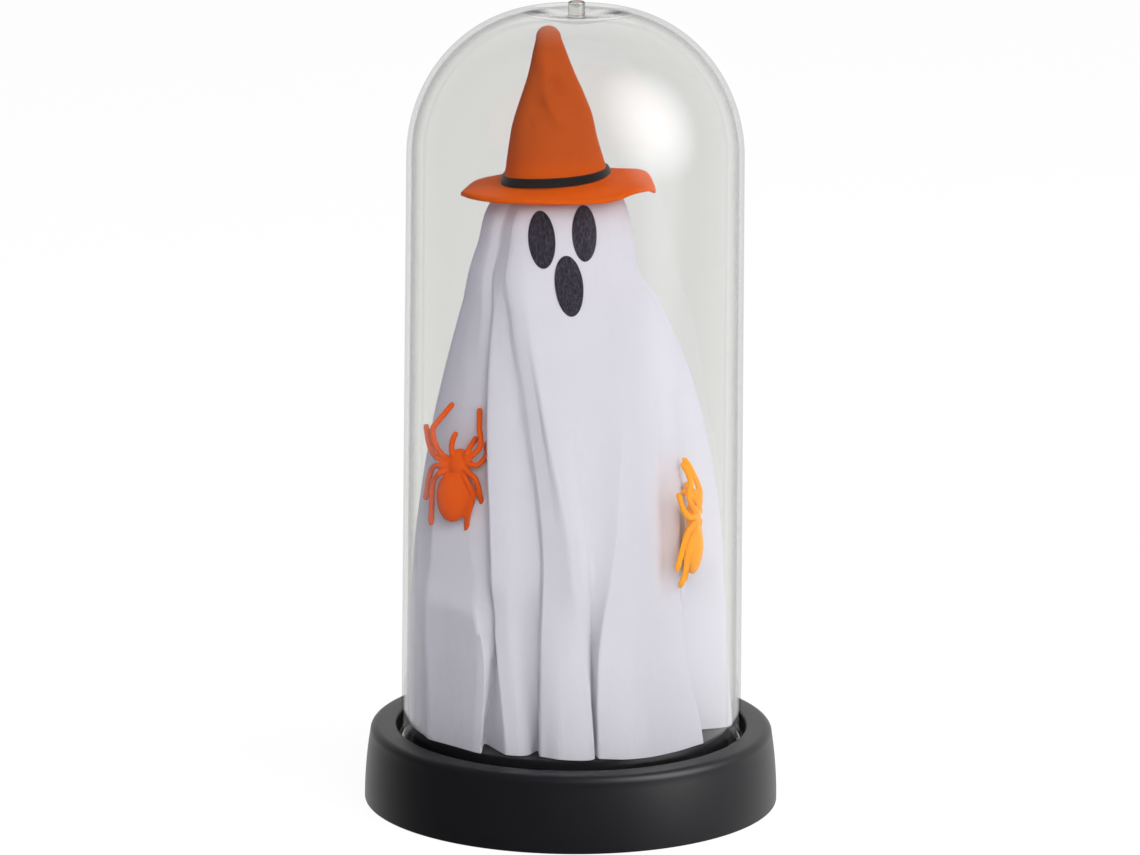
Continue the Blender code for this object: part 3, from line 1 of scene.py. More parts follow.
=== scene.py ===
"""Dresses a small cloth ghost that stands under a clear dome on a round battery base.

Units are metres, +Z is up, the ghost faces -Y, and the origin is the middle of the underside.
"""

import math

import bmesh
import bpy
import numpy as np
from bpy.props import FloatProperty, FloatVectorProperty, PointerProperty
from mathutils import Matrix, Vector
from mathutils.bvhtree import BVHTree


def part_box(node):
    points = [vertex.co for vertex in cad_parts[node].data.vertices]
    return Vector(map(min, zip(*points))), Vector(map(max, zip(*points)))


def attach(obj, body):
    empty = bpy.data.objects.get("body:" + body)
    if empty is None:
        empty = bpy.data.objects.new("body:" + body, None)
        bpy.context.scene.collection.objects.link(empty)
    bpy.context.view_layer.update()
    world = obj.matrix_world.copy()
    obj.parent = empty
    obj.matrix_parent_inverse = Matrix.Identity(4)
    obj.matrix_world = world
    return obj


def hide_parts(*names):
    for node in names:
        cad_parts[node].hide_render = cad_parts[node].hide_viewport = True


bl_info = {
    "name": "Ghost cloche decoration",
    "version": (1, 0, 0),
    "blender": (4, 5, 0),
    "location": "3D View > Sidebar > Cloche",
    "description": "Makes the finished surfaces of a cloth ghost under a clear dome",
    "category": "Add Mesh",
}

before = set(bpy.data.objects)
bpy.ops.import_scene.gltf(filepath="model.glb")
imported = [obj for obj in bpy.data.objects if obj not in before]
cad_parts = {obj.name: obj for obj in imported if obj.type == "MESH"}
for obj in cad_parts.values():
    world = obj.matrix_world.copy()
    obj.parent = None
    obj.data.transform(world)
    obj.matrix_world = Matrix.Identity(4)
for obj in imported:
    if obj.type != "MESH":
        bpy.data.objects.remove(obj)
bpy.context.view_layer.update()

MM = 0.001
WELD = 0.0001 * MM
# Points of one rounded corner in a profile
CORNER_POINTS = 7

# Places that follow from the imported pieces
DOME_LOW, DOME_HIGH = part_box("dome")
HEAD_LOW, HEAD_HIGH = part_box("head_ball")
LED_LOW, LED_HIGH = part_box("led")
PLATFORM_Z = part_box("base_housing")[1].z
HEAD_X = (HEAD_LOW.x + HEAD_HIGH.x) / 2
HEAD_R = (HEAD_HIGH.x - HEAD_LOW.x) / 2
HEAD_Z = HEAD_HIGH.z - HEAD_R


def linear(hex_colour):
    """Turns sRGB hex text into linear red, green, blue and full alpha."""
    values = [int(hex_colour[i : i + 2], 16) / 255 for i in (1, 3, 5)]
    rgb = [v / 12.92 if v <= 0.04045 else ((v + 0.055) / 1.055) ** 2.4 for v in values]
    return (*rgb, 1.0)


def length(name, description, default):
    """A length property, typed in metres."""
    return FloatProperty(name=name, description=description, default=default, precision=5, unit="LENGTH")


def angle(name, description, degrees):
    """An angle property, given here in degrees."""
    return FloatProperty(name=name, description=description, default=math.radians(degrees), subtype="ANGLE")


def colour(name, description, hex_colour):
    """A colour property, given here as sRGB hex text."""
    default = linear(hex_colour)
    return FloatVectorProperty(
        name=name, description=description, default=default, size=4, min=0, max=1, subtype="COLOR"
    )


class BaseSettings(bpy.types.PropertyGroup):
    """Sizes of the turned base shell."""

    platform_radius: length("Platform radius", "Radius of the raised platform", 43.5 * MM)
    platform_rise: length("Platform rise", "Height of the platform above the rim", 1.1 * MM)
    groove_radius: length("Groove radius", "Outer radius of the dome's groove", 48.66 * MM)
    groove_depth: length("Groove depth", "Depth of the groove below the rim", 4.9 * MM)
    rim_width: length("Rim width", "Width of the flat rim round the groove", 6.9 * MM)
    flare: length("Foot flare", "How far the foot stands out past the rim", 1.9 * MM)
    wall: length("Wall", "Thickness of the moulded wall", 2.2 * MM)
    edge_radius: length("Edge radius", "Rounding of the rim's outer edge", 2.2 * MM)
    lip_radius: length("Lip radius", "Rounding of the groove's lips", 0.7 * MM)
    foot_radius: length("Foot radius", "Rounding of the foot's outer edge", 0.4 * MM)


class DomeSettings(bpy.types.PropertyGroup):
    """Sizes of the blow-moulded dome."""

    wall: length("Wall", "Thickness of the clear wall", 1.4 * MM)
    draft: length("Draft", "How much the tube narrows up to its shoulder", 1.1 * MM)
    straight: length("Tube height", "Height of the nearly straight tube", 164.7 * MM)
    cap_rise: length("Cap rise", "Height of the rounded cap", 41.0 * MM)
    crown_radius: length("Crown radius", "Radius at which the cap turns level", 7.9 * MM)
    dish_radius: length("Dish radius", "Radius of the dish in the crown", 15.0 * MM)
    dish_drop: length("Dish drop", "Depth of the dish below the crown", 2.5 * MM)
    nub_radius: length("Nub radius", "Radius of the moulding nub", 2.3 * MM)


class ClothSettings(bpy.types.PropertyGroup):
    """Sizes of the draped cloth and its felt face."""

    hem_radius: length("Hem radius", "Radius of the cloth at its hem", 44.5 * MM)
    stand_off: length("Stand off", "Gap between the head ball and the cloth's outside", 2.2 * MM)
    hem_gap: length("Hem gap", "Gap between the hem and the platform", 0.3 * MM)
    thickness: length("Thickness", "Thickness of the cloth", 0.4 * MM)
    cut_radius: length("Cut radius", "Radius of the half circle that the cloth is cut to", 162.0 * MM)
    felt_thickness: length("Felt thickness", "Thickness of the eyes and the mouth", 0.7 * MM)


class HatSettings(bpy.types.PropertyGroup):
    """Sizes of the hat and its band."""

    tilt: angle("Tilt", "How far the hat leans to the left", 3.3)
    height: length("Height", "Height of the cone above the brim's middle", 43.4 * MM)
    wall: length("Wall", "Thickness of the cone's wall", 1.2 * MM)
    cone_radius: length("Cone radius", "Radius of the cone at its foot", 14.85 * MM)
    tip_radius: length("Tip radius", "Radius of the rounded tip", 3.5 * MM)
    brim_radius: length("Brim radius", "Radius of the brim", 26.6 * MM)
    brim_thickness: length("Brim thickness", "Thickness of the brim", 1.5 * MM)
    opening_radius: length("Opening radius", "Radius of the opening under the brim", 12.2 * MM)
    band_rise: length("Band rise", "Height of the band above the brim", 0.6 * MM)
    band_height: length("Band height", "Height of the ribbon band", 2.35 * MM)
    band_thickness: length("Band thickness", "Thickness of the ribbon", 0.5 * MM)


class SpiderSettings(bpy.types.PropertyGroup):
    """Sizes of the moulded spiders."""

    belly_half_width: length("Belly half width", "Half the width of the belly", 5.0 * MM)
    belly_half_length: length("Belly half length", "Half the length of the belly", 7.2 * MM)
    belly_half_thick: length("Belly half thickness", "Half the thickness of the belly", 2.9 * MM)
    head_half_width: length("Head half width", "Half the width of the head", 3.4 * MM)
    head_half_length: length("Head half length", "Half the length of the head", 3.9 * MM)
    head_half_thick: length("Head half thickness", "Half the thickness of the head", 2.1 * MM)
    leg_radius: length("Leg radius", "Radius of a leg", 0.8 * MM)


class FinishSettings(bpy.types.PropertyGroup):
    """Colours of the finishes."""

    base: colour("Base", "Satin black of the base", "#0E0E10")
    cover: colour("Cover", "Black of the cover and the door", "#18181A")
    dome: colour("Dome", "Faint grey of the clear dome", "#F3F3F1")
    cloth: colour("Cloth", "White of the cloth", "#E9E8EE")
    felt: colour("Felt", "Black of the eyes and the mouth", "#1A1720")
    # The hat is one orange foam: the cone's duller orange is a painted reflection of the dome over it, and
    # the brim's stronger orange is painted glow of light through the brim
    hat: colour("Hat", "Duller orange of the hat's cone", "#CA5A1C")
    brim: colour("Brim", "Orange of the hat's brim", "#E86400")
    ribbon: colour("Ribbon", "Black of the hat's band", "#1C1A19")
    # Both spiders are one orange plastic: the left one's deeper orange is painted shade and the right one's
    # yellower orange is painted light
    shaded_copy_orange: colour("Deep spider", "Orange of the left spider", "#E05600")
    lit_copy_orange: colour("Bright spider", "Orange of the right spider", "#FFA300")


class StageSettings(bpy.types.PropertyGroup):
    """Camera and light."""

    camera_distance: length("Camera distance", "How far in front of the object the camera stands", 1.709)
    camera_height: length("Camera height", "Height of the camera", 0.499)
    aim: angle("Aim", "How far the camera looks down", 12.97)
    roll: angle("Roll", "How far the camera is rolled", 0.44)
    lens: FloatProperty(name="Lens", description="Focal length in millimetres", default=200.87)
    shift: FloatProperty(name="Shift", description="Sideways shift of the frame", default=-0.003)
    ambient: FloatProperty(name="Ambient", description="Strength of the even light", default=0.6)
    key_power: FloatProperty(name="Key power", description="Watts of the main lamp", default=22.5)
    front_power: FloatProperty(name="Front power", description="Watts of the front lamp", default=11.0)


def add_node(tree, kind, settings=None, inputs=None):
    """Adds one node: settings are its attributes, inputs its values or the sockets that feed it."""
    made = tree.nodes.new(kind)
    for key, value in (settings or {}).items():
        setattr(made, key, value)
    for key, value in (inputs or {}).items():
        if isinstance(value, bpy.types.NodeSocket):
            tree.links.new(value, made.inputs[key])
        else:
            made.inputs[key].default_value = value
    return made


def new_material(name):
    """An empty material with its tree, its output node and the object's own coordinates."""
    made = bpy.data.materials.new(name)
    made.use_nodes = True
    tree = made.node_tree
    tree.nodes.clear()
    output = tree.nodes.new("ShaderNodeOutputMaterial")
    place = tree.nodes.new("ShaderNodeTexCoord").outputs["Object"]
    return made, tree, output, place


def toned(hex_or_rgb, factor):
    """A linear colour made lighter or darker by a factor."""
    rgb = linear(hex_or_rgb) if isinstance(hex_or_rgb, str) else tuple(hex_or_rgb)
    return (*(min(1.0, value * factor) for value in rgb[:3]), 1.0)


# Cells of the slow mottle to one grain, the grain noise's contrast, and how far it shifts roughness
MOTTLE_GRAINS = 30
GRAIN_FROM, GRAIN_TO = 0.25, 0.75
ROUGHNESS_SHIFT = 0.06


def plain_finish(name, rgb, roughness, grain, depth, metallic=0.0, spread=0.06, extra=None):
    """A moulded, drawn or sprayed finish.

    Soft noise with cells of the grain size shifts the roughness a little and raises the surface
    by the depth, and a slower one shifts the colour by the spread.
    """
    made, tree, output, place = new_material(name)
    fine = add_node(tree, "ShaderNodeTexNoise", inputs={"Vector": place, "Scale": 1 / grain, "Detail": 3.0})
    mottle_scale = 1 / (grain * MOTTLE_GRAINS)
    broad = add_node(tree, "ShaderNodeTexNoise", inputs={"Vector": place, "Scale": mottle_scale})
    mottle = add_node(
        tree,
        "ShaderNodeMix",
        {"data_type": "RGBA"},
        {"Factor": broad.outputs["Fac"], 6: toned(rgb, 1 - spread), 7: toned(rgb, 1 + spread)},
    )
    worn = add_node(
        tree,
        "ShaderNodeMapRange",
        inputs={
            "Value": fine.outputs["Fac"],
            "From Min": GRAIN_FROM,
            "From Max": GRAIN_TO,
            "To Min": max(0.0, roughness - ROUGHNESS_SHIFT),
            "To Max": min(1.0, roughness + ROUGHNESS_SHIFT),
        },
    )
    raised = add_node(
        tree,
        "ShaderNodeBump",
        inputs={"Height": fine.outputs["Fac"], "Distance": depth, "Strength": 1.0},
    )
    shader = add_node(
        tree,
        "ShaderNodeBsdfPrincipled",
        inputs={
            "Base Color": mottle.outputs[2],
            "Roughness": worn.outputs["Result"],
            "Metallic": metallic,
            "Normal": raised.outputs["Normal"],
            **(extra or {}),
        },
    )
    tree.links.new(shader.outputs["BSDF"], output.inputs["Surface"])
    return made


def satin_abs(name, rgb):
    """ABS moulded in a spark-eroded tool: satin black with a fine, even grain of 0.3 mm."""
    satin = {"Specular IOR Level": 0.33}
    return plain_finish(
        name, rgb, roughness=0.4, grain=0.3 * MM, depth=0.012 * MM, spread=0.1, extra=satin
    )


# How slanted the wall is seen (0 square on, 1 edge on) and its tone there; the dip in tone is a painted
# darker line that stands for the inner wall's edge
DOME_PAINTED_EDGE_TONES = ((0.0, 0.985), (0.59, 0.985), (0.62, 0.84), (0.645, 0.96), (0.68, 1.0), (1.0, 1.0))
# Between these slants the wall turns to a plain grey at its very edge, which is painted shade
DOME_RIM_FROM, DOME_RIM_TO = 0.7, 0.88
DOME_PAINTED_RIM_GREY = (0.82, 0.82, 0.82, 1.0)
DOME_SWELL = 28 * MM
DOME_SWELL_DEPTH = 0.05 * MM


def clear_pet(rgb):
    """Blow-moulded PET: clear, faintly grey, with slow swells left by the blowing.

    Where the wall is seen slantwise a thin darker line is painted on, as painted shade that stands
    for its inner edge, and at its very edge the wall is painted a plain pale grey. Lamps shine
    through it by way of the shadow ray, so that it throws no dark shadow.
    """
    made, tree, output, place = new_material("blown_clear_pet")
    swell = add_node(tree, "ShaderNodeTexNoise", inputs={"Vector": place, "Scale": 1 / DOME_SWELL})
    bent = add_node(
        tree,
        "ShaderNodeBump",
        inputs={"Height": swell.outputs["Fac"], "Distance": DOME_SWELL_DEPTH, "Strength": 1.0},
    )
    slant = add_node(tree, "ShaderNodeLayerWeight", inputs={"Blend": 0.5}).outputs["Facing"]
    # Painted shade: a darker line where the wall is seen slantwise
    edge = add_node(tree, "ShaderNodeValToRGB", inputs={"Fac": slant})
    stops = edge.color_ramp.elements
    while len(stops) < len(DOME_PAINTED_EDGE_TONES):
        stops.new(1.0)
    for stop, (position, tone) in zip(stops, DOME_PAINTED_EDGE_TONES):
        stop.position = position
        stop.color = toned(rgb, tone)
    glass = add_node(
        tree,
        "ShaderNodeBsdfPrincipled",
        inputs={
            "Base Color": edge.outputs["Color"],
            "Roughness": 0.03,
            "IOR": 1.5,
            "Transmission Weight": 1.0,
            "Normal": bent.outputs["Normal"],
        },
    )
    # Painted shade: a plain grey at the wall's very edge
    rim = add_node(tree, "ShaderNodeBsdfTransparent", inputs={"Color": DOME_PAINTED_RIM_GREY})
    rim_share = add_node(
        tree,
        "ShaderNodeMapRange",
        inputs={"Value": slant, "From Min": DOME_RIM_FROM, "From Max": DOME_RIM_TO},
    )
    seen = add_node(
        tree,
        "ShaderNodeMixShader",
        inputs={0: rim_share.outputs[0], 1: glass.outputs["BSDF"], 2: rim.outputs["BSDF"]},
    )
    through = add_node(tree, "ShaderNodeBsdfTransparent")
    ray = add_node(tree, "ShaderNodeLightPath")
    mixed = add_node(
        tree,
        "ShaderNodeMixShader",
        inputs={0: ray.outputs["Is Shadow Ray"], 1: seen.outputs[0], 2: through.outputs["BSDF"]},
    )
    tree.links.new(mixed.outputs[0], output.inputs["Surface"])
    return made


# Share of the light that comes through the foam
FOAM_GLOW = 0.25


def hat_foam(rgb, painted_glow_brim_rgb, low, high):
    """Moulded EVA foam in orange: even and half matt, brighter on the brim than on the cone.

    The colour turns from the brim's to the cone's between two heights: the cone's duller orange
    is a painted reflection of the dome's pale wall over it, and the brim's stronger orange is
    painted glow of light through the thin brim. Some light also comes through the brim and falls
    on the cloth under it.
    """
    matt = {"Specular IOR Level": 0.06}
    made = plain_finish(
        "moulded_orange_foam", rgb, roughness=0.5, grain=0.6 * MM, depth=0.03 * MM, extra=matt
    )
    tree = made.node_tree
    shader = tree.nodes["Principled BSDF"]
    place = add_node(tree, "ShaderNodeTexCoord").outputs["Object"]
    up = add_node(tree, "ShaderNodeSeparateXYZ", inputs={0: place})
    painted_veil_share = add_node(
        tree,
        "ShaderNodeMapRange",
        inputs={"Value": up.outputs["Z"], "From Min": low, "From Max": high},
    )
    cone = shader.inputs["Base Color"].links[0].from_socket
    # Painted glow on the brim below, and a painted reflection dulling the cone above
    both = add_node(
        tree,
        "ShaderNodeMix",
        {"data_type": "RGBA"},
        {"Factor": painted_veil_share.outputs[0], 6: painted_glow_brim_rgb, 7: cone},
    )
    tree.links.new(both.outputs[2], shader.inputs["Base Color"])
    glow = add_node(tree, "ShaderNodeBsdfTranslucent", inputs={"Color": both.outputs[2]})
    mixed = add_node(
        tree,
        "ShaderNodeMixShader",
        inputs={0: FOAM_GLOW, 1: shader.outputs["BSDF"], 2: glow.outputs["BSDF"]},
    )
    tree.links.new(mixed.outputs[0], tree.nodes["Material Output"].inputs["Surface"])
    return made


# Threads lie 0.3 mm apart, and are drawn at twice that so that they show
THREAD = 0.6 * MM
THREAD_DEPTH = 0.03 * MM
# A wave texture's scale that gives one band to a metre
WAVE_BAND = 0.314
# Crinkles near the hem: cell, how much it is drawn out upward, depth, height, share left above
CRINKLE_CELL = 2.4 * MM
CRINKLE_DRAWN = 0.3
CRINKLE_DEPTH = 0.5 * MM
CRINKLE_RISE = 34 * MM
CRINKLE_LEAST = 0.12
# Painted shade near the hem: how grey the cloth is painted at its hem, and the height at which it is white
HEM_PAINTED_SHADE = 0.88
HEM_SHADE_RISE = 26 * MM
CLOTH_MOTTLE = 22 * MM
CLOTH_GLOW = 0.16


def woven_cloth(rgb):
    """Brushed polyester cloth: matt white, and a little light comes through.

    The weave follows the cloth's own UV map, which is in metres; a slow noise keeps the white
    from being flat. Near the hem the thin cloth is crinkled, and its colour is painted greyer
    there as painted shade.
    """
    made, tree, output, place = new_material("white_polyester_cloth")
    along = add_node(tree, "ShaderNodeUVMap", {"uv_map": "UVMap"}).outputs["UV"]
    weave = []
    for direction in ("X", "Y"):
        wave = add_node(
            tree,
            "ShaderNodeTexWave",
            {"bands_direction": direction},
            {"Vector": along, "Scale": WAVE_BAND / THREAD, "Distortion": 0.6, "Detail": 1.0},
        )
        weave.append(wave.outputs["Fac"])
    crossed = add_node(tree, "ShaderNodeMath", {"operation": "MULTIPLY"}, {0: weave[0], 1: weave[1]})
    drawn_up = add_node(
        tree, "ShaderNodeMapping", inputs={"Vector": place, "Scale": (1, 1, CRINKLE_DRAWN)}
    )
    crinkle = add_node(
        tree,
        "ShaderNodeTexNoise",
        inputs={"Vector": drawn_up.outputs[0], "Scale": 1 / CRINKLE_CELL, "Detail": 2.0},
    )
    height = add_node(tree, "ShaderNodeSeparateXYZ", inputs={0: place}).outputs["Z"]
    crinkled_share = add_node(
        tree,
        "ShaderNodeMapRange",
        inputs={
            "Value": height,
            "From Min": PLATFORM_Z,
            "From Max": PLATFORM_Z + CRINKLE_RISE,
            "To Min": 1,
            "To Max": CRINKLE_LEAST,
        },
    )
    depth = add_node(
        tree,
        "ShaderNodeMath",
        {"operation": "MULTIPLY"},
        {0: crinkle.outputs[0], 1: crinkled_share.outputs[0]},
    )
    crinkled = add_node(
        tree,
        "ShaderNodeBump",
        inputs={"Height": depth.outputs[0], "Distance": CRINKLE_DEPTH, "Strength": 1.0},
    )
    raised = add_node(
        tree,
        "ShaderNodeBump",
        inputs={
            "Height": crossed.outputs[0],
            "Distance": THREAD_DEPTH,
            "Strength": 1.0,
            "Normal": crinkled.outputs["Normal"],
        },
    )
    broad = add_node(tree, "ShaderNodeTexNoise", inputs={"Vector": place, "Scale": 1 / CLOTH_MOTTLE})
    tint = add_node(
        tree,
        "ShaderNodeMix",
        {"data_type": "RGBA"},
        {"Factor": broad.outputs["Fac"], 6: toned(rgb, 0.97), 7: toned(rgb, 1.02)},
    )
    # Painted shade: the cloth's colour is greyer towards the hem
    out_of_hem_shade = add_node(
        tree,
        "ShaderNodeMapRange",
        inputs={"Value": height, "From Min": PLATFORM_Z, "From Max": PLATFORM_Z + HEM_SHADE_RISE},
    )
    shaded = add_node(
        tree,
        "ShaderNodeMix",
        {"data_type": "RGBA"},
        {"Factor": out_of_hem_shade.outputs[0], 6: toned(rgb, HEM_PAINTED_SHADE), 7: tint.outputs[2]},
    )
    shader = add_node(
        tree,
        "ShaderNodeBsdfPrincipled",
        inputs={
            "Base Color": shaded.outputs[2],
            "Roughness": 0.85,
            "Sheen Weight": 0.15,
            "Normal": raised.outputs["Normal"],
        },
    )
    glow = add_node(tree, "ShaderNodeBsdfTranslucent", inputs={"Color": toned(rgb, 1.0)})
    mixed = add_node(
        tree,
        "ShaderNodeMixShader",
        inputs={0: CLOTH_GLOW, 1: shader.outputs["BSDF"], 2: glow.outputs["BSDF"]},
    )
    tree.links.new(mixed.outputs[0], output.inputs["Surface"])
    return made


FIBRE = 0.5 * MM
FIBRE_LEAN = math.radians(35)
FIBRE_DRAWN = 0.35
FIBRE_DEPTH = 0.25 * MM
# Colour of the painted glints on the fibres
FIBRE_PAINTED_GLINT = "#4B4556"


def pressed_felt(name, rgb):
    """Pressed acrylic felt: black, with short fibres whose lighter slanted streaks are painted glints."""
    made, tree, output, place = new_material(name)
    slant = add_node(
        tree,
        "ShaderNodeMapping",
        inputs={"Vector": place, "Rotation": (0, FIBRE_LEAN, 0), "Scale": (1, 1, FIBRE_DRAWN)},
    )
    fibre = add_node(
        tree,
        "ShaderNodeTexNoise",
        inputs={
            "Vector": slant.outputs["Vector"],
            "Scale": 1 / FIBRE,
            "Detail": 4.0,
            "Roughness": 0.65,
        },
    )
    # Where the slanted fibre noise is high, a painted glint colour is mixed in
    glint = add_node(
        tree,
        "ShaderNodeMapRange",
        inputs={"Value": fibre.outputs["Fac"], "From Min": 0.42, "From Max": 0.72},
    )
    fibres_and_painted_glint = add_node(
        tree,
        "ShaderNodeMix",
        {"data_type": "RGBA"},
        {"Factor": glint.outputs["Result"], 6: toned(rgb, 0.8), 7: linear(FIBRE_PAINTED_GLINT)},
    )
    raised = add_node(
        tree,
        "ShaderNodeBump",
        inputs={"Height": fibre.outputs["Fac"], "Distance": FIBRE_DEPTH, "Strength": 1.0},
    )
    shader = add_node(
        tree,
        "ShaderNodeBsdfPrincipled",
        inputs={
            "Base Color": fibres_and_painted_glint.outputs[2],
            "Roughness": 0.9,
            "Sheen Weight": 0.25,
            "Normal": raised.outputs["Normal"],
        },
    )
    tree.links.new(shader.outputs["BSDF"], output.inputs["Surface"])
    return made


def smooth_table(table, at):
    """Reads a table's rows at fractional row numbers, on a cubic curve through every row."""
    table = np.asarray(table, float)
    last = len(table) - 1
    low = np.clip(np.floor(at).astype(int), 0, last - 1)
    f = (np.asarray(at) - low).reshape(-1, *([1] * (table.ndim - 1)))
    p0, p1 = table[np.maximum(low - 1, 0)], table[low]
    p2, p3 = table[low + 1], table[np.minimum(low + 2, last)]
    bend = (2 * p0 - 5 * p1 + 4 * p2 - p3) * f**2 + (3 * p1 - p0 - 3 * p2 + p3) * f**3
    return 0.5 * (2 * p1 + (p2 - p0) * f + bend)


def eased(low, high, values):
    """0 at low and before it, 1 at high and past it, and a smooth step between."""
    t = np.clip((values - low) / (high - low), 0, 1)
    return t * t * (3 - 2 * t)


def bump_at(values, middle, half_width):
    """A bell that is 1 at the middle and falls away within the half width."""
    return np.exp(-(((values - middle) / half_width) ** 2))


def lattice_noise(points, cell, seed):
    """Smooth noise from -1 to 1: random values on a cubic lattice, eased between its corners."""
    rng = np.random.default_rng(seed)
    values = rng.uniform(-1, 1, (64, 64, 64))
    scaled = points / cell + 512
    low = np.floor(scaled).astype(int)
    f = scaled - low
    f = f * f * (3 - 2 * f)
    total = np.zeros(points.shape[:-1])
    for corner in np.ndindex(2, 2, 2):
        at = (low + corner) % 64
        weight = np.prod(np.where(np.array(corner) == 1, f, 1 - f), axis=-1)
        total += weight * values[at[..., 0], at[..., 1], at[..., 2]]
    return total


def rounded_profile(corners):
    """Points of an outline whose corners (radius, height, rounding) become tangent arcs."""
    points = []
    for k, (r, z, rounding) in enumerate(corners):
        here = np.array([r, z])
        if rounding == 0 or k in (0, len(corners) - 1):
            points.append(here)
            continue
        before = np.array(corners[k - 1][:2]) - here
        after = np.array(corners[k + 1][:2]) - here
        before /= np.linalg.norm(before)
        after /= np.linalg.norm(after)
        half = math.acos(np.clip(before @ after, -1, 1)) / 2
        back = rounding / math.tan(half)
        centre = here + (before + after) / np.linalg.norm(before + after) * rounding / math.sin(half)
        start = here + before * back - centre
        end = here + after * back - centre
        turn = math.atan2(start[0] * end[1] - start[1] * end[0], start @ end)
        for step in np.linspace(0, 1, CORNER_POINTS):
            c, s = math.cos(turn * step), math.sin(turn * step)
            points.append(centre + np.array([start[0] * c - start[1] * s, start[0] * s + start[1] * c]))
    return np.array(points)


def turned_points(profile, steps, centre=(0.0, 0.0)):
    """A profile of (radius, height) carried round an upright axis, as a grid of points."""
    turn = np.linspace(0, 2 * math.pi, steps, endpoint=False)
    profile = np.asarray(profile, float)
    x = centre[0] + profile[:, :1] * np.cos(turn)
    y = centre[1] + profile[:, :1] * np.sin(turn)
    z = np.repeat(profile[:, 1:], steps, axis=1)
    return np.stack([x, y, z], axis=-1)


def grid_object(name, points, wrap=True, uv=None):
    """A mesh of four-sided faces over a grid of points, closed round the columns where it wraps."""
    rows, columns = points.shape[:2]
    i, j = np.meshgrid(np.arange(rows - 1), np.arange(columns if wrap else columns - 1), indexing="ij")
    after = (j + 1) % columns
    here, above = i * columns, (i + 1) * columns
    corners = np.stack([here + j, above + j, above + after, here + after])
    corners = corners.reshape(4, -1).T.astype(np.int32)
    mesh = bpy.data.meshes.new(name)
    mesh.vertices.add(rows * columns)
    mesh.vertices.foreach_set("co", points.reshape(-1).astype(np.float32))
    mesh.loops.add(corners.size)
    mesh.loops.foreach_set("vertex_index", corners.reshape(-1))
    mesh.polygons.add(len(corners))
    mesh.polygons.foreach_set("loop_start", np.arange(0, corners.size, 4, dtype=np.int32))
    if uv is not None:
        layer = mesh.uv_layers.new(name="UVMap")
        placed = np.stack([uv[i, j], uv[i + 1, j], uv[i + 1, j + 1], uv[i, j + 1]], axis=2)
        layer.data.foreach_set("uv", placed.reshape(-1).astype(np.float32))
    mesh.update(calc_edges=True)
    mesh.validate()
    made = bpy.data.objects.new(name, mesh)
    bpy.context.scene.collection.objects.link(made)
    return made


def weld(item, distance=WELD):
    """Merges doubled points, which closes poles and seams."""
    shape = bmesh.new()
    shape.from_mesh(item.data)
    bmesh.ops.remove_doubles(shape, verts=shape.verts, dist=distance)
    bmesh.ops.dissolve_degenerate(shape, edges=shape.edges, dist=distance)
    shape.to_mesh(item.data)
    shape.free()
    return item


def modify(item, kind, **settings):
    """Adds one modifier with its settings and applies it to the mesh."""
    step = item.modifiers.new(kind.title(), kind)
    for key, value in settings.items():
        setattr(step, key, value)
    bpy.context.view_layer.update()
    graph = bpy.context.evaluated_depsgraph_get()
    mesh = bpy.data.meshes.new_from_object(item.evaluated_get(graph))
    item.modifiers.clear()
    old = item.data
    item.data = mesh
    mesh.name = item.name
    bpy.data.meshes.remove(old)
    return item


def shade(item, degrees=35):
    """Smooth shading, with edges sharper than the angle kept."""
    item.data.shade_smooth()
    item.data.set_sharp_from_angle(angle=math.radians(degrees))
    return item


def turned(name, profile, steps, centre=(0.0, 0.0)):
    """A closed turned piece; its profile runs from the top down the outside and back inside."""
    return weld(grid_object(name, turned_points(profile, steps, centre)))


def rod(name, centre, radius, low, high, steps=48):
    """An upright round rod, used to cut or to join."""
    profile = [(0, high), (radius, high), (radius, low), (0, low)]
    return turned(name, profile, steps, centre)


def combine(item, tool, operation):
    """Cuts a tool out of the piece or joins it on, then removes the tool."""
    modify(item, "BOOLEAN", operation=operation, solver="EXACT", object=tool)
    bpy.data.objects.remove(tool, do_unlink=True)
    return item


def dress(item, finish, body, slot, *nodes):
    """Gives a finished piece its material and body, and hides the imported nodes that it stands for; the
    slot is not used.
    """
    item.data.materials.clear()
    item.data.materials.append(finish)
    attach(item, body)
    if nodes:
        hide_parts(*nodes)
    return item


def finish_nodes(names, finish):
    """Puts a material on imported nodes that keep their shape."""
    for name in names:
        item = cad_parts[name]
        if not item.material_slots:
            item.data.materials.append(None)
        for material_slot in item.material_slots:
            material_slot.material = finish


ROUND_STEPS = 256
SIDE_ROWS = 12
# A rounding that takes up a whole edge is kept this share of it, so that its ends don't meet
ROUNDING_KEPT = 0.98
UNDER_OVERLAP = 1.0 * MM
COVER_SCREW_COUNT = 4
COVER_SEAT_Z = 5.1 * MM
BOSS_R = 3.4 * MM
BOSS_OUTSET = 2.5 * MM
BOSS_BORE_R = 1.4 * MM
BOSS_BORE_DEPTH = 9.0 * MM
BOARD_BOSS_R = 2.2 * MM
BOARD_BORE_R = 1.1 * MM
BOARD_BORE_DEPTH = 2.7 * MM
BOARD_GAP = 0.3 * MM
BOARD_SCREW_PITCH = 13.0 * MM
POST_HOLE_R = 1.4 * MM
LED_HOLE_R = 2.8 * MM


def bored_boss(shell, spot, radius, bore_radius, seat, top, bore_depth):
    """Joins a boss on under the shell and bores it from its seat."""
    combine(shell, rod("boss", spot, radius, seat, top + UNDER_OVERLAP), "UNION")
    bore = rod("bore", spot, bore_radius, seat - UNDER_OVERLAP, seat + bore_depth)
    combine(shell, bore, "DIFFERENCE")


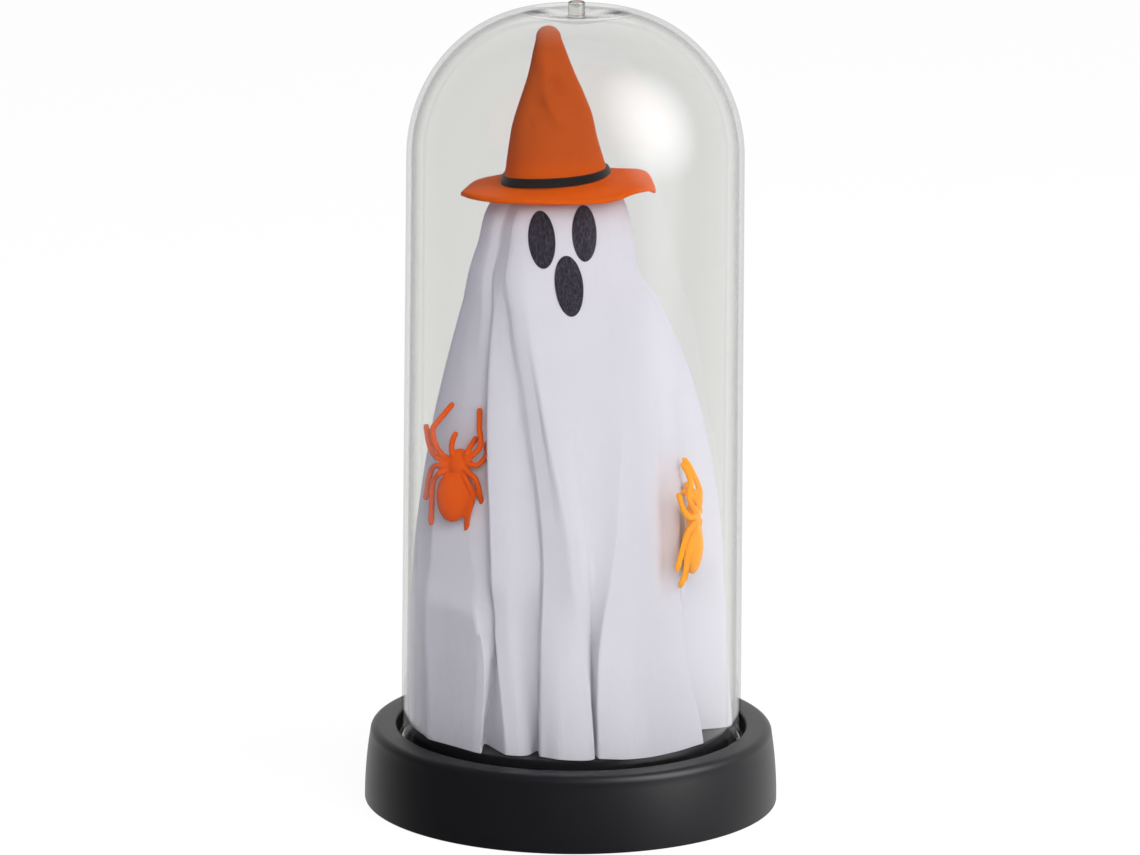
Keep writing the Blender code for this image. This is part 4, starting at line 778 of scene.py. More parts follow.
class CLOCHE_OT_base(bpy.types.Operator):
    """Turns the black base shell and cuts its holes"""

    bl_idname = "cloche.make_base"
    bl_label = "Base shell"

    def execute(self, context):
        """The profile runs over the platform, through the groove, over the rim, down the flared
        side and back up inside; the side stands out by the flare times one less the height's
        share squared."""
        base = context.scene.cloche_base
        rim_z = PLATFORM_Z - base.platform_rise
        groove_z = rim_z - base.groove_depth
        rim_r = base.groove_radius + base.rim_width
        flare_top = rim_z - base.edge_radius
        heights = np.linspace(flare_top, base.foot_radius, SIDE_ROWS)
        side_r = rim_r + base.flare * (1 - (heights / rim_z) ** 2)
        inner_foot = rim_r + base.flare - base.foot_radius - base.wall
        under_groove = groove_z - base.wall
        under_platform = PLATFORM_Z - base.wall
        top = [
            (0, PLATFORM_Z, 0),
            (base.platform_radius, PLATFORM_Z, base.lip_radius),
            (base.platform_radius, groove_z, base.lip_radius),
            (base.groove_radius, groove_z, base.lip_radius),
            (base.groove_radius, rim_z, base.lip_radius),
            (side_r[0], rim_z, base.edge_radius * ROUNDING_KEPT),
            (side_r[0], flare_top, 0),
        ]
        foot = [
            (side_r[-1], heights[-1], 0),
            (side_r[-1], 0, base.foot_radius * ROUNDING_KEPT),
            (inner_foot, 0, 0),
            (rim_r - base.wall, rim_z - base.wall, 0),
            (base.groove_radius + base.wall, rim_z - base.wall, 0),
            (base.groove_radius + base.wall, under_groove, 0),
            (base.platform_radius - base.wall, under_groove, 0),
            (base.platform_radius - base.wall, under_platform, 0),
            (0, under_platform, 0),
        ]
        side = np.stack([side_r, heights], axis=1)[1:-1]
        profile = np.concatenate([rounded_profile(top), side, rounded_profile(foot)])
        shell = turned("base_shell", profile, ROUND_STEPS)
        ring = base.platform_radius + BOSS_OUTSET
        for k in range(COVER_SCREW_COUNT):
            turn = 2 * math.pi * (k + 0.5) / COVER_SCREW_COUNT
            spot = (ring * math.cos(turn), ring * math.sin(turn))
            bored_boss(shell, spot, BOSS_R, BOSS_BORE_R, COVER_SEAT_Z, under_groove, BOSS_BORE_DEPTH)
        led_x = (LED_LOW.x + LED_HIGH.x) / 2
        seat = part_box("led_board")[1].z + BOARD_GAP
        for side_sign in (-1, 1):
            spot = (led_x, side_sign * BOARD_SCREW_PITCH / 2)
            bored_boss(shell, spot, BOARD_BOSS_R, BOARD_BORE_R, seat, under_platform, BOARD_BORE_DEPTH)
        for spot, radius in (((led_x, 0.0), LED_HOLE_R), ((HEAD_X, 0.0), POST_HOLE_R)):
            hole = rod("hole", spot, radius, under_platform - UNDER_OVERLAP, PLATFORM_Z + UNDER_OVERLAP)
            combine(shell, hole, "DIFFERENCE")
        finish = satin_abs("satin_black_abs", context.scene.cloche_finish.base)
        dress(shade(shell), finish, "root", "base_plastic", "base_housing")
        return {"FINISHED"}


ARC_ROWS = 72
DISH_ROWS = 24
# Where the level middle of the dish ends, as a share of the dish's radius
DISH_MIDDLE = 0.2
NUB_ROUNDING = 0.5 * MM
FOOT_ROUNDING = 0.5 * MM
FOOT_BAND = 3 * MM
FOOT_DRAFT = 0.02 * MM


def dished(radii, lip_r, low, high, slope):
    """A dish's profile: level in its middle, up to the lip on a cubic that meets the cap's slope."""
    u = (radii - radii[0]) / (lip_r - radii[0])
    eased_up = (high - low) * (3 * u**2 - 2 * u**3)
    heights = low + eased_up + slope * (lip_r - radii[0]) * (u**2 - u**3)
    return np.stack([radii, heights], axis=1)


def cap_arc(level_r, span, low, rise, turn):
    """Part of a quarter ellipse over the tube: half width span and half height rise."""
    return np.stack([level_r + span * np.cos(turn), low + rise * np.sin(turn)], axis=1)


class CLOCHE_OT_dome(bpy.types.Operator):
    """Turns the clear dome with its dished crown and moulding nub"""

    bl_idname = "cloche.make_dome"
    bl_label = "Dome"

    def execute(self, context):
        """The wall is a drafted tube under a quarter ellipse; inside the dish radius the height
        sinks by the dish's drop, and the nub stands in its middle."""
        dome = context.scene.cloche_dome
        foot_z = DOME_LOW.z
        outer_r = DOME_HIGH.x
        shoulder_z = foot_z + dome.straight
        shoulder_r = outer_r - dome.draft
        crown_z = shoulder_z + dome.cap_rise
        dish_z = crown_z - dome.dish_drop
        span = shoulder_r - dome.crown_radius
        start = math.acos((dome.dish_radius - dome.crown_radius) / span)
        turn = np.linspace(start, 0, ARC_ROWS)
        outer = cap_arc(dome.crown_radius, span, shoulder_z, dome.cap_rise, turn)
        inner_span = span - dome.wall
        inner_start = math.acos((dome.dish_radius - dome.crown_radius) / inner_span)
        turn = np.linspace(0, inner_start, ARC_ROWS)
        inner = cap_arc(dome.crown_radius, inner_span, shoulder_z, dome.cap_rise - dome.wall, turn)
        middle_r = DISH_MIDDLE * dome.dish_radius
        dish_r = np.linspace(middle_r, dome.dish_radius, DISH_ROWS, endpoint=False)
        lip_slope = dome.cap_rise * math.cos(start) / (span * math.sin(start))
        dish = dished(dish_r, dome.dish_radius, dish_z, outer[0, 1], lip_slope)
        under_z = dish_z - dome.wall
        under = dished(dish_r, dome.dish_radius, under_z, inner[-1, 1], lip_slope)[::-1]
        nub_top = DOME_HIGH.z
        nub = rounded_profile(
            [
                (0, nub_top, 0),
                (dome.nub_radius, nub_top, NUB_ROUNDING),
                (dome.nub_radius, dish_z, NUB_ROUNDING),
                (dish[0, 0], dish_z, 0),
            ]
        )
        foot = rounded_profile(
            [
                (outer_r - FOOT_DRAFT, foot_z + FOOT_BAND, 0),
                (outer_r, foot_z, FOOT_ROUNDING),
                (outer_r - dome.wall, foot_z, FOOT_ROUNDING),
                (outer_r - dome.wall - FOOT_DRAFT, foot_z + FOOT_BAND, 0),
            ]
        )
        profile = np.concatenate([nub[:-1], dish, outer, foot, inner, under, [(0, under_z)]])
        shell = turned("clear_dome", profile, ROUND_STEPS)
        finish = clear_pet(context.scene.cloche_finish.dome)
        dress(shade(shell, 50), finish, "dome", "clear_plastic", "dome")
        return {"FINISHED"}


# Heights at which the folds are set, as shares of the cloth's height from hem to head
STATION_SHARES = (0.0, 0.22, 0.44, 0.72, 1.0)
# Height share, half width and half depth as shares of the radius there, centre as a share of HEAD_X
BODY_SHARES = (
    (0.0, 1.0, 0.995, 0.0),
    (0.128, 0.993, 0.994, 0.14),
    (0.246, 1.005, 1.0, 0.25),
    (0.379, 1.032, 1.023, 0.28),
    (0.541, 1.055, 1.036, 0.31),
    (0.719, 1.078, 1.045, 0.47),
    (0.881, 1.057, 1.019, 0.85),
    (0.94, 1.028, 0.977, 1.3),
    (1.0, 1.078, 1.005, 1.19),
    (1.06, 1.174, 1.106, 1.15),
    (1.092, 1.176, 1.13, 1.05),
)
# The same for how deep each fold lies: the slits between the panels open at once above the knee
DEPTH_SHARES = (0.0, 0.28, 0.35, 0.72, 1.0)
# Columns up to the next line, then bearings in degrees from +X through the front, at the head,
# chest, waist, knee and hem, then how far the line lies inside the outline at the same places
FOLDS = {
    "left_side": (14, (178, 177, 176, 176, 176), (0.0, 0.0, 0.0, 0.0, 0.01)),
    "left_panel_edge": (14, (163, 161, 158, 153, 149), (0.01, 0.07, 0.055, 0.01, -0.005)),
    "left_panel": (14, (151, 146, 138, 122.5, 123.5), (0.02, 0.13, 0.12, 0.03, 0.005)),
    "left_valley": (14, (143, 131.5, 125, 121, 131), (0.07, 0.13, 0.15, 0.16, 0.20)),
    "pleat_edge": (14, (138.5, 130.4, 121.5, 118.6, 114.2), (0.065, 0.04, 0.05, 0.09, 0.065)),
    "pleat": (14, (134, 122, 113.5, 111.5, 107.8), (0.04, 0.05, 0.07, 0.09, 0.085)),
    "sash_valley": (12, (129, 114.9, 102.6, 103.4, 105.0), (0.01, 0.08, 0.13, 0.20, 0.22)),
    "front_panel_edge": (14, (125, 109, 99.8, 100.2, 101.6), (-0.02, 0.04, 0.075, 0.075, 0.09)),
    "front_panel": (14, (120, 103.5, 94.5, 93.5, 92.3), (-0.03, 0.015, 0.045, 0.05, 0.025)),
    "sash": (14, (110, 100.5, 88.2, 84.6, 82.6), (-0.02, -0.01, 0.0, 0.03, 0.03)),
    "slit_left": (12, (86, 87, 82.6, 81.4, 81.2), (0.04, 0.12, 0.10, 0.09, 0.2)),
    "slit": (12, (66, 79, 79.4, 80.4, 80.8), (0.07, 0.125, 0.11, 0.14, 0.28)),
    "slit_right": (14, (52, 70, 75.6, 79.4, 80.3), (0.09, 0.075, 0.08, 0.12, 0.24)),
    "right_panel_edge": (14, (43, 63, 71.4, 77.8, 79.4), (0.0, 0.005, 0.01, 0.035, 0.05)),
    "right_panel_ridge": (14, (34, 56, 65, 68, 70), (-0.02, -0.01, 0.0, 0.0, 0.0)),
    "right_panel": (14, (27, 47, 56, 56, 57), (0.0, 0.0, 0.01, 0.02, 0.0)),
    "right_panel_side": (14, (21, 40, 46, 48, 45.5), (0.0, 0.03, 0.10, 0.05, 0.015)),
    "right_corner": (14, (15, 31, 38, 40, 35.5), (0.01, 0.03, 0.09, 0.06, 0.02)),
    "right_valley": (14, (9, 21, 30, 32, 26), (0.02, 0.06, 0.13, 0.19, 0.26)),
    "right_side": (14, (0, 4, 4, 4, 9), (0.0, 0.0, 0.0, 0.0, 0.0)),
    "back_valley_1": (10, (-12, -11, -10, -10, -9), (0.02, 0.05, 0.10, 0.13, 0.15)),
    "back_ridge_1": (10, (-26, -24, -23, -23, -22), (0.0, 0.0, 0.0, 0.0, 0.0)),
    "back_valley_2": (10, (-42, -40, -39, -39, -38), (0.02, 0.05, 0.11, 0.15, 0.17)),
    "back_ridge_2": (10, (-57, -56, -55, -55, -54), (0.0, 0.0, 0.0, 0.0, 0.0)),
    "back_valley_3": (10, (-73, -72, -71, -71, -70), (0.02, 0.06, 0.12, 0.16, 0.19)),
    "back_ridge_3": (10, (-90, -89, -88, -88, -87), (0.0, 0.0, 0.0, 0.0, 0.01)),
    "back_valley_4": (10, (-107, -106, -105, -104, -103), (0.02, 0.06, 0.12, 0.16, 0.18)),
    "back_ridge_4": (10, (-123, -122, -121, -121, -120), (0.0, 0.0, 0.0, 0.0, 0.0)),
    "back_valley_5": (10, (-139, -138, -137, -137, -136), (0.02, 0.05, 0.11, 0.15, 0.17)),
    "back_ridge_5": (10, (-153, -152, -151, -151, -150), (0.0, 0.0, 0.0, 0.0, 0.0)),
    "back_valley_6": (10, (-168, -167, -166, -166, -165), (0.01, 0.04, 0.09, 0.12, 0.14)),
}
# Folds that are creased along a line, and the height shares between which the crease comes in
CRISP_FOLDS = (
    "left_panel_edge",
    "left_panel",
    "pleat_edge",
    "front_panel_edge",
    "slit_left",
    "right_panel_edge",
    "right_corner",
)
CRISP_SHARES = (0.85, 0.4)
# Soft wrinkles: cell across, cell up, how far they stand out, seed
WRINKLES = (
    (17 * MM, 40 * MM, 0.55 * MM, 3),
    (5 * MM, 22 * MM, 0.14 * MM, 8),
)
CLOTH_ROWS = 110
# Rings over the head, under the hat: share of the top ring's radius, and rise above it
CROWN_RINGS = ((1.0, 0.0), (0.79, 0.9), (0.575, 1.6), (0.42, 4.2), (0.22, 6.2), (0.0, 6.96))
CROWN_ROWS = 14


def closed_ring(marks, counts, crisp):
    """A closed curve through each row's marks.

    Between two marks the curve is a cubic whose end slopes come from the neighbours, weighed by
    the square roots of their distances, which keeps a short span between long ones from looping.
    At a crisp mark, from 0 to 1, both slopes turn toward the straight line to the next mark.
    """
    span = np.repeat(np.arange(len(counts)), counts)
    f = np.concatenate([np.arange(n) / n for n in counts])[None, :, None]
    total = marks.shape[1]
    p0, p1, p2, p3 = (marks[:, (span + k) % total] for k in (-1, 0, 1, 2))
    spans = (p1 - p0, p2 - p1, p3 - p2)
    d0, d1, d2 = (np.sqrt(np.linalg.norm(v, axis=-1, keepdims=True) + WELD) for v in spans)
    m1 = d1 * ((p1 - p0) / d0 - (p2 - p0) / (d0 + d1) + (p2 - p1) / d1)
    m2 = d1 * ((p2 - p1) / d1 - (p3 - p1) / (d1 + d2) + (p3 - p2) / d2)
    c1, c2 = (crisp[:, (span + k) % total, None] for k in (0, 1))
    m1, m2 = m1 + (p2 - p1 - m1) * c1, m2 + (p2 - p1 - m2) * c2
    first = (2 * f**3 - 3 * f**2 + 1) * p1 + (f**3 - 2 * f**2 + f) * m1
    return first + (3 * f**2 - 2 * f**3) * p2 + (f**3 - f**2) * m2


def cloth_points(cloth):
    """The cloth's outside as a grid of points from the hem up to the crown.

    At each height share t the outline is an ellipse whose radius falls with t squared; each fold
    line stands on it at its bearing, moved inward by its depth, and a closed curve joins them.
    Smooth noise, drawn out upward, then moves the wall in and out.
    """
    hem_z = PLATFORM_Z + cloth.hem_gap
    rise = HEAD_Z - hem_z
    head_r = HEAD_R + cloth.stand_off
    shares = np.linspace(0, BODY_SHARES[-1][0], CLOTH_ROWS)
    at_station = np.interp(shares, STATION_SHARES, np.arange(len(STATION_SHARES)))
    bearings = np.radians([fold[1][::-1] for fold in FOLDS.values()]).T
    depths = np.array([fold[2][::-1] for fold in FOLDS.values()]).T
    bearing = smooth_table(bearings, at_station)
    depth = smooth_table(depths, np.interp(shares, DEPTH_SHARES, np.arange(len(DEPTH_SHARES))))
    body = np.array(BODY_SHARES)
    half_width, half_depth, centre = smooth_table(
        body[:, 1:], np.interp(shares, body[:, 0], np.arange(len(body)))
    ).T[:, :, None]
    reach = (cloth.hem_radius + (head_r - cloth.hem_radius) * shares[:, None] ** 2) * (1 - depth)
    x = HEAD_X * centre + reach * half_width * np.cos(bearing)
    y = -reach * half_depth * np.sin(bearing)
    is_edge = np.array([name in CRISP_FOLDS for name in FOLDS])
    crisp = is_edge * eased(*CRISP_SHARES, shares)[:, None]
    ring = closed_ring(np.stack([x, y], axis=-1), [fold[0] for fold in FOLDS.values()], crisp)
    z = np.broadcast_to((hem_z + rise * shares)[:, None, None], (*ring.shape[:2], 1))
    wall = np.concatenate([ring, z], axis=-1)
    below_head = eased(1.0, 0.75, shares)[:, None]
    out = 0
    for across, up, stands_out, seed in WRINKLES:
        out = out + stands_out * lattice_noise(wall * (1, 1, across / up), across, seed)
    wall[..., :2] *= (1 + out * below_head / np.linalg.norm(ring, axis=-1))[..., None]
    at_ring = np.linspace(0, len(CROWN_RINGS) - 1, CROWN_ROWS + 1)[1:]
    over = smooth_table(np.array(CROWN_RINGS) * (1, MM), at_ring)
    middle = np.array([HEAD_X, 0.0, 0.0])
    top = wall[-1] - middle
    cap = middle + np.stack([top * (s, s, 1) + (0, 0, up) for s, up in over])
    return np.concatenate([wall, cap])


def measured_uv(points):
    """UV in metres: across is the arc length round a middle row, up is the arc length up."""
    closed = np.concatenate([points, points[:, :1]], axis=1)
    across = np.linalg.norm(np.diff(closed, axis=1), axis=-1)
    across = np.concatenate([[0], np.cumsum(across[: CLOTH_ROWS // 2].mean(axis=0))])
    up = np.linalg.norm(np.diff(closed, axis=0), axis=-1)
    up = np.concatenate([[0], np.cumsum(up.mean(axis=1))])
    return np.stack(np.broadcast_arrays(across[None, :], up[:, None]), axis=-1)


# Eyes and mouth: place across and up from the head's centre, half width, half height, lean
FACE = {
    "eye_left": (-4.6 * MM, 4.0 * MM, 3.65 * MM, 7.7 * MM, 5),
    "eye_right": (6.8 * MM, 5.3 * MM, 3.3 * MM, 7.5 * MM, 4),
    "mouth": (2.8 * MM, -8.2 * MM, 3.8 * MM, 8.0 * MM, 8),
}
FELT_GAP = 0.25 * MM
FELT_RINGS = 22
FELT_STEPS = 96
# Rounding of the felt's cut edge, as a share of its thickness
FELT_ROUNDING = 0.35


def felt_patch(name, place, cloth, thickness):
    """One felt oval laid on the cloth's front.

    The grid is rings by bearings, with the radius a share of the oval's; the cloth's front is
    found along +Y for every point, and the piece is then thickened outward and its edge rounded.
    """
    across, up, half_width, half_height, lean = place
    rings = np.linspace(0, 1, FELT_RINGS)[:, None]
    turn = np.linspace(0, -2 * math.pi, FELT_STEPS, endpoint=False)[None, :]
    u = half_width * rings * np.cos(turn)
    v = half_height * rings * np.sin(turn)
    c, s = math.cos(math.radians(lean)), math.sin(math.radians(lean))
    x = HEAD_X + across + u * c - v * s
    z = HEAD_Z + up + v * c + u * s
    y = np.full_like(x, -DOME_HIGH.x)
    patch = weld(grid_object(name, np.stack([x, y, z], axis=-1)))
    modify(
        patch,
        "SHRINKWRAP",
        target=cloth,
        wrap_method="PROJECT",
        use_project_y=True,
        use_project_x=False,
        use_project_z=False,
        use_positive_direction=True,
        use_negative_direction=False,
        wrap_mode="ABOVE_SURFACE",
        offset=FELT_GAP,
    )
    modify(patch, "SOLIDIFY", thickness=thickness, offset=1.0)
    modify(
        patch,
        "BEVEL",
        width=thickness * FELT_ROUNDING,
        segments=2,
        limit_method="ANGLE",
        angle_limit=math.radians(50),
    )
    return shade(patch, 60)


class CLOCHE_OT_cloth(bpy.types.Operator):
    """Drapes the white cloth over the head and lays the felt face on it"""

    bl_idname = "cloche.make_cloth"
    bl_label = "Cloth and face"

    def execute(self, context):
        """Makes the cloth's grid, thickens it inward and lays the eyes and the mouth on it."""
        settings = context.scene.cloche_cloth
        points = cloth_points(settings)
        cloth = weld(grid_object("draped_cloth", points, uv=measured_uv(points)))
        modify(cloth, "SOLIDIFY", thickness=settings.thickness, offset=-1.0)
        shade(cloth, 75)
        finish = context.scene.cloche_finish
        felt = pressed_felt("black_felt", finish.felt)
        for name, place in FACE.items():
            patch = felt_patch(f"felt_{name}", place, cloth, settings.felt_thickness)
            dress(patch, felt, "root", "felt", name)
        dress(cloth, woven_cloth(finish.cloth), "root", "cloth", "ghost_cloth")
        return {"FINISHED"}


# Across and up from the waist, in shares of the belly's half length
LEG_SHARES = (
    ((0.25, 0.42), (0.66, 0.60), (1.38, 1.17), (1.02, 1.83), (0.68, 2.53)),
    ((0.28, 0.36), (0.85, 0.42), (1.43, 0.47), (1.83, 0.90), (1.77, 1.49)),
    ((0.28, 0.22), (0.60, 0.17), (1.40, -0.10), (1.75, -0.72), (1.87, -1.55)),
    ((0.25, 0.12), (0.65, -0.13), (1.18, -0.51), (1.26, -1.02), (0.98, -2.34)),
)
PALP_SHARES = ((0.2, 0.45), (0.33, 0.95), (0.42, 1.4))
BELLY_BACK = 6.6 * MM
SPIDER_HEAD_FORWARD = 2.7 * MM
SPIDER_BODY_RISE = 2.4 * MM
SPIDER_KNEE_RISE = 2.2 * MM
SPIDER_TOE_DROP = 3.0 * MM
SPIDER_SEARCH = 12.0 * MM
SPIDER_CLEAR = 0.3 * MM
SPIDER_STEPS = 30
SPIDER_WALL_GAP = 1.2 * MM
# How much the belly is drawn to a point at the rear, and the head at the front
BELLY_POINT = 0.1
HEAD_POINT = -0.05
LIMB_ROWS = 60
# Radii of a limb's rounded end, as shares of its radius
LIMB_END = (0.02, 0.6, 0.9)
VOXEL = 0.25 * MM
# Waist (across, toward the front, up), facing, nod, roll in degrees, spread of each side's legs
SPIDERS = {
    "spider_left": ((-0.663, 0.404, 0.554), (-16, 6, 6.5), (1.0, 0.55)),
    "spider_right": ((0.64, 0.53, 0.455), (84, 0, 0), (0.7, 0.4)),
}


def tube_points(path, radii, up, sides=16):
    """A round limb: circles of the given radii square to a path, turned so that up stays up."""
    along = np.gradient(path, axis=0)
    along /= np.linalg.norm(along, axis=1, keepdims=True)
    side = np.cross(along, up)
    side /= np.linalg.norm(side, axis=1, keepdims=True)
    over = np.cross(side, along)
    turn = np.linspace(0, 2 * math.pi, sides, endpoint=False)[None, :, None]
    ring = np.cos(turn) * side[:, None] + np.sin(turn) * over[:, None]
    return path[:, None] + radii[:, None, None] * ring


def egg_points(centre_v, half_width, half_length, half_thick, point):
    """An egg along the spider's length: sine sections, drawn to a point at the rear."""
    t = np.linspace(0, math.pi, 40)[:, None]
    turn = np.linspace(0, 2 * math.pi, 48, endpoint=False)[None, :]
    girth = np.sin(t) * (1 + point * np.cos(t))
    u = half_width * girth * np.cos(turn)
    v = centre_v + half_length * np.cos(t) + 0 * turn
    w = SPIDER_BODY_RISE + half_thick * girth * np.sin(turn)
    return np.stack([u, v, w], axis=-1)


def moved(points, matrix):
    """Points put through a 4 by 4 matrix."""
    matrix = np.array(matrix)
    return points @ matrix[:3, :3].T + matrix[:3, 3]


def search_tree(item):
    """A search tree over a piece's faces."""
    shape = bmesh.new()
    shape.from_mesh(item.data)
    tree = BVHTree.FromBMesh(shape)
    shape.free()
    return tree


def spider_frame(cloth, waist, turn):
    """The spider's own frame: origin on the cloth at its waist, +Z out of the cloth."""
    settings = bpy.context.scene.cloche_cloth
    hem_z = PLATFORM_Z + settings.hem_gap
    facing, nod, roll = (math.radians(value) for value in turn)
    outward = Vector((math.sin(facing) * math.cos(nod), -math.cos(facing) * math.cos(nod), math.sin(nod)))
    right = Vector((0, 0, 1)).cross(outward).normalized()
    axes = Matrix((right, outward.cross(right), outward)).transposed().to_4x4()
    across, forward, up = waist
    spot = Vector(
        (settings.hem_radius * across, -settings.hem_radius * forward, hem_z + (HEAD_Z - hem_z) * up)
    )
    hit, _, _, _ = cloth.ray_cast(spot + outward * SPIDER_SEARCH, -outward)
    if hit is None:
        raise RuntimeError("the spider's waist is not over the cloth")
    return Matrix.Translation(hit) @ axes @ Matrix.Rotation(-roll, 4, "Z"), outward


def clear_lift(points, cloth, outward):
    """How far points must move outward, in steps, until all of them are clear of the cloth."""
    for count in range(SPIDER_STEPS):
        lift = outward * (SPIDER_CLEAR * count)
        near = [(Vector(point) + lift, *cloth.find_nearest(Vector(point) + lift)[:2]) for point in points]
        if min((point - hit).dot(normal) for point, hit, normal in near) > SPIDER_CLEAR:
            return lift
    raise RuntimeError("the spider's body is not clear of the cloth")


def limb_path(shares, matrix, spread, cloth, scale, radius):
    """A limb's centre line: up to its knee, down to its toe, outside the cloth and in the dome."""
    t = np.linspace(0, 1, 9)
    flat = smooth_table(np.array(shares) * (spread * scale, scale), t * (len(shares) - 1))
    rise = SPIDER_BODY_RISE + SPIDER_KNEE_RISE * np.sin(math.pi * t) - SPIDER_TOE_DROP * t**2
    path = moved(np.column_stack([flat, rise]), matrix)
    dome = bpy.context.scene.cloche_dome
    limit = DOME_HIGH.x - dome.draft - dome.wall - SPIDER_WALL_GAP - radius
    path[:, :2] *= np.minimum(1, limit / np.linalg.norm(path[:, :2], axis=1))[:, None]
    lift = radius + SPIDER_CLEAR
    for k, point in enumerate(path):
        hit, normal, _, _ = cloth.find_nearest(Vector(point))
        away = Vector(point) - hit
        if away.dot(normal) <= 0:
            path[k] = hit + normal * lift
        elif away.length < lift:
            path[k] = hit + away.normalized() * lift
    return smooth_table(path, np.linspace(0, len(path) - 1, LIMB_ROWS))


class CLOCHE_OT_spiders(bpy.types.Operator):
    """Models both spiders on the cloth"""

    bl_idname = "cloche.make_spiders"
    bl_label = "Spiders"

    def execute(self, context):
        """Belly, head, palps and legs are closed surfaces, fused at a fine voxel size."""
        sizes = context.scene.cloche_spider
        cloth = search_tree(bpy.data.objects["draped_cloth"])
        # The two oranges are shaded and lit copies of one plastic, painted shade and painted light
        colours = {
            "spider_left": ("spider_deep", context.scene.cloche_finish.shaded_copy_orange),
            "spider_right": ("spider_bright", context.scene.cloche_finish.lit_copy_orange),
        }
        belly_size = (sizes.belly_half_width, sizes.belly_half_length, sizes.belly_half_thick)
        head_size = (sizes.head_half_width, sizes.head_half_length, sizes.head_half_thick)
        belly = egg_points(-BELLY_BACK, *belly_size, BELLY_POINT)
        head = egg_points(SPIDER_HEAD_FORWARD, *head_size, HEAD_POINT)
        ends = np.concatenate([LIMB_END, np.ones(LIMB_ROWS - 2 * len(LIMB_END)), LIMB_END[::-1]])
        for name, (waist, turn, spreads) in SPIDERS.items():
            matrix, outward = spider_frame(cloth, waist, turn)
            body = np.concatenate([moved(part[::3, ::4], matrix).reshape(-1, 3) for part in (belly, head)])
            matrix = Matrix.Translation(clear_lift(body, cloth, outward)) @ matrix
            pieces = [moved(belly, matrix), moved(head, matrix)]
            scale = sizes.belly_half_length
            for side, spread in zip((-1, 1), spreads):
                limbs = [(shares, side * spread) for shares in LEG_SHARES] + [(PALP_SHARES, side)]
                for shares, reach in limbs:
                    path = limb_path(shares, matrix, reach, cloth, scale, sizes.leg_radius)
                    pieces.append(tube_points(path, sizes.leg_radius * ends, np.array(outward)))
            parts = [weld(grid_object(f"{name}_{k}", points)) for k, points in enumerate(pieces)]
            spider = parts[0]
            chosen = {"active_object": spider, "selected_editable_objects": parts}
            with context.temp_override(object=spider, **chosen):
                bpy.ops.object.join()
            spider.name = f"moulded_{name}"
            modify(spider, "REMESH", mode="VOXEL", voxel_size=VOXEL)
            modify(spider, "SMOOTH", factor=0.5, iterations=4)
            slot, rgb = colours[name]
            finish = moulded_spider(f"moulded_{slot}", rgb)
            dress(shade(spider, 80), finish, "root", slot, name)
        return {"FINISHED"}


def moulded_spider(name, rgb):
    """Injection-moulded polyethylene: soft gloss, and a little light goes into it."""
    soft = {
        "Subsurface Weight": 0.15,
        "Subsurface Radius": (1.0, 0.4, 0.1),
        "Subsurface Scale": 1.0 * MM,
        "Specular IOR Level": 0.2,
    }
    return plain_finish(
        name, rgb, roughness=0.33, grain=0.5 * MM, depth=0.01 * MM, spread=0.05, extra=soft
    )


HAT_STEPS = 256
# Bearing from the front in degrees, positive to the right, then the brim edge's rise and how much
# further out it reaches
BRIM_EDGE = (
    (-180, -2.5 * MM, 0.0 * MM),
    (-145, -2.6 * MM, 0.0 * MM),
    (-122, -1.8 * MM, 0.0 * MM),
    (-104, -2.5 * MM, -0.2 * MM),
    (-90, -2.1 * MM, -0.4 * MM),
    (-80, -1.0 * MM, -0.3 * MM),
    (-62, -0.5 * MM, 0.0 * MM),
    (-35, -0.3 * MM, 0.0 * MM),
    (-8, -0.4 * MM, 0.0 * MM),
    (13, -1.0 * MM, 0.0 * MM),
    (27, -1.5 * MM, 0.0 * MM),
    (38, -1.5 * MM, 0.0 * MM),
    (54, -0.8 * MM, 0.2 * MM),
    (72, -1.5 * MM, 1.0 * MM),
    (84, -3.4 * MM, 0.6 * MM),
    (97, -3.2 * MM, 0.5 * MM),
    (108, -1.0 * MM, 0.3 * MM),
    (118, -0.7 * MM, 0.0 * MM),
    (134, -1.5 * MM, 0.0 * MM),
    (150, -2.2 * MM, 0.0 * MM),
    (180, -2.5 * MM, 0.0 * MM),
)
# Dents and swells of the cone: bearing and height of both ends of each, half width, rise
CONE_DENTS = (
    (-46, 29 * MM, -26, 23 * MM, 5.0 * MM, -1.1 * MM),
    (-8, 24.5 * MM, 16, 18.5 * MM, 2.0 * MM, 1.0 * MM),
    (9, 37 * MM, 12, 27.5 * MM, 1.8 * MM, -0.9 * MM),
    (12, 27.5 * MM, 42, 20 * MM, 2.2 * MM, -1.1 * MM),
    (80, 24 * MM, 84, 20 * MM, 5.0 * MM, 0.55 * MM),
    (-66, 16 * MM, -62, 12 * MM, 5.5 * MM, 0.55 * MM),
    (-42, 18.5 * MM, -33, 16.5 * MM, 0.9 * MM, -0.3 * MM),
    (150, 30 * MM, 172, 22 * MM, 3.0 * MM, -0.6 * MM),
    (-150, 20 * MM, -128, 14 * MM, 3.0 * MM, 0.5 * MM),
    (118, 14 * MM, 136, 9 * MM, 2.5 * MM, -0.4 * MM),
)
CONE_SWELL = 0.45 * MM
CONE_SWELL_Z = 15 * MM
CONE_SWELL_HALF = 11 * MM
HAT_NOISE_CELL = 9 * MM
HAT_NOISE = 0.3 * MM
HAT_SEED = 5
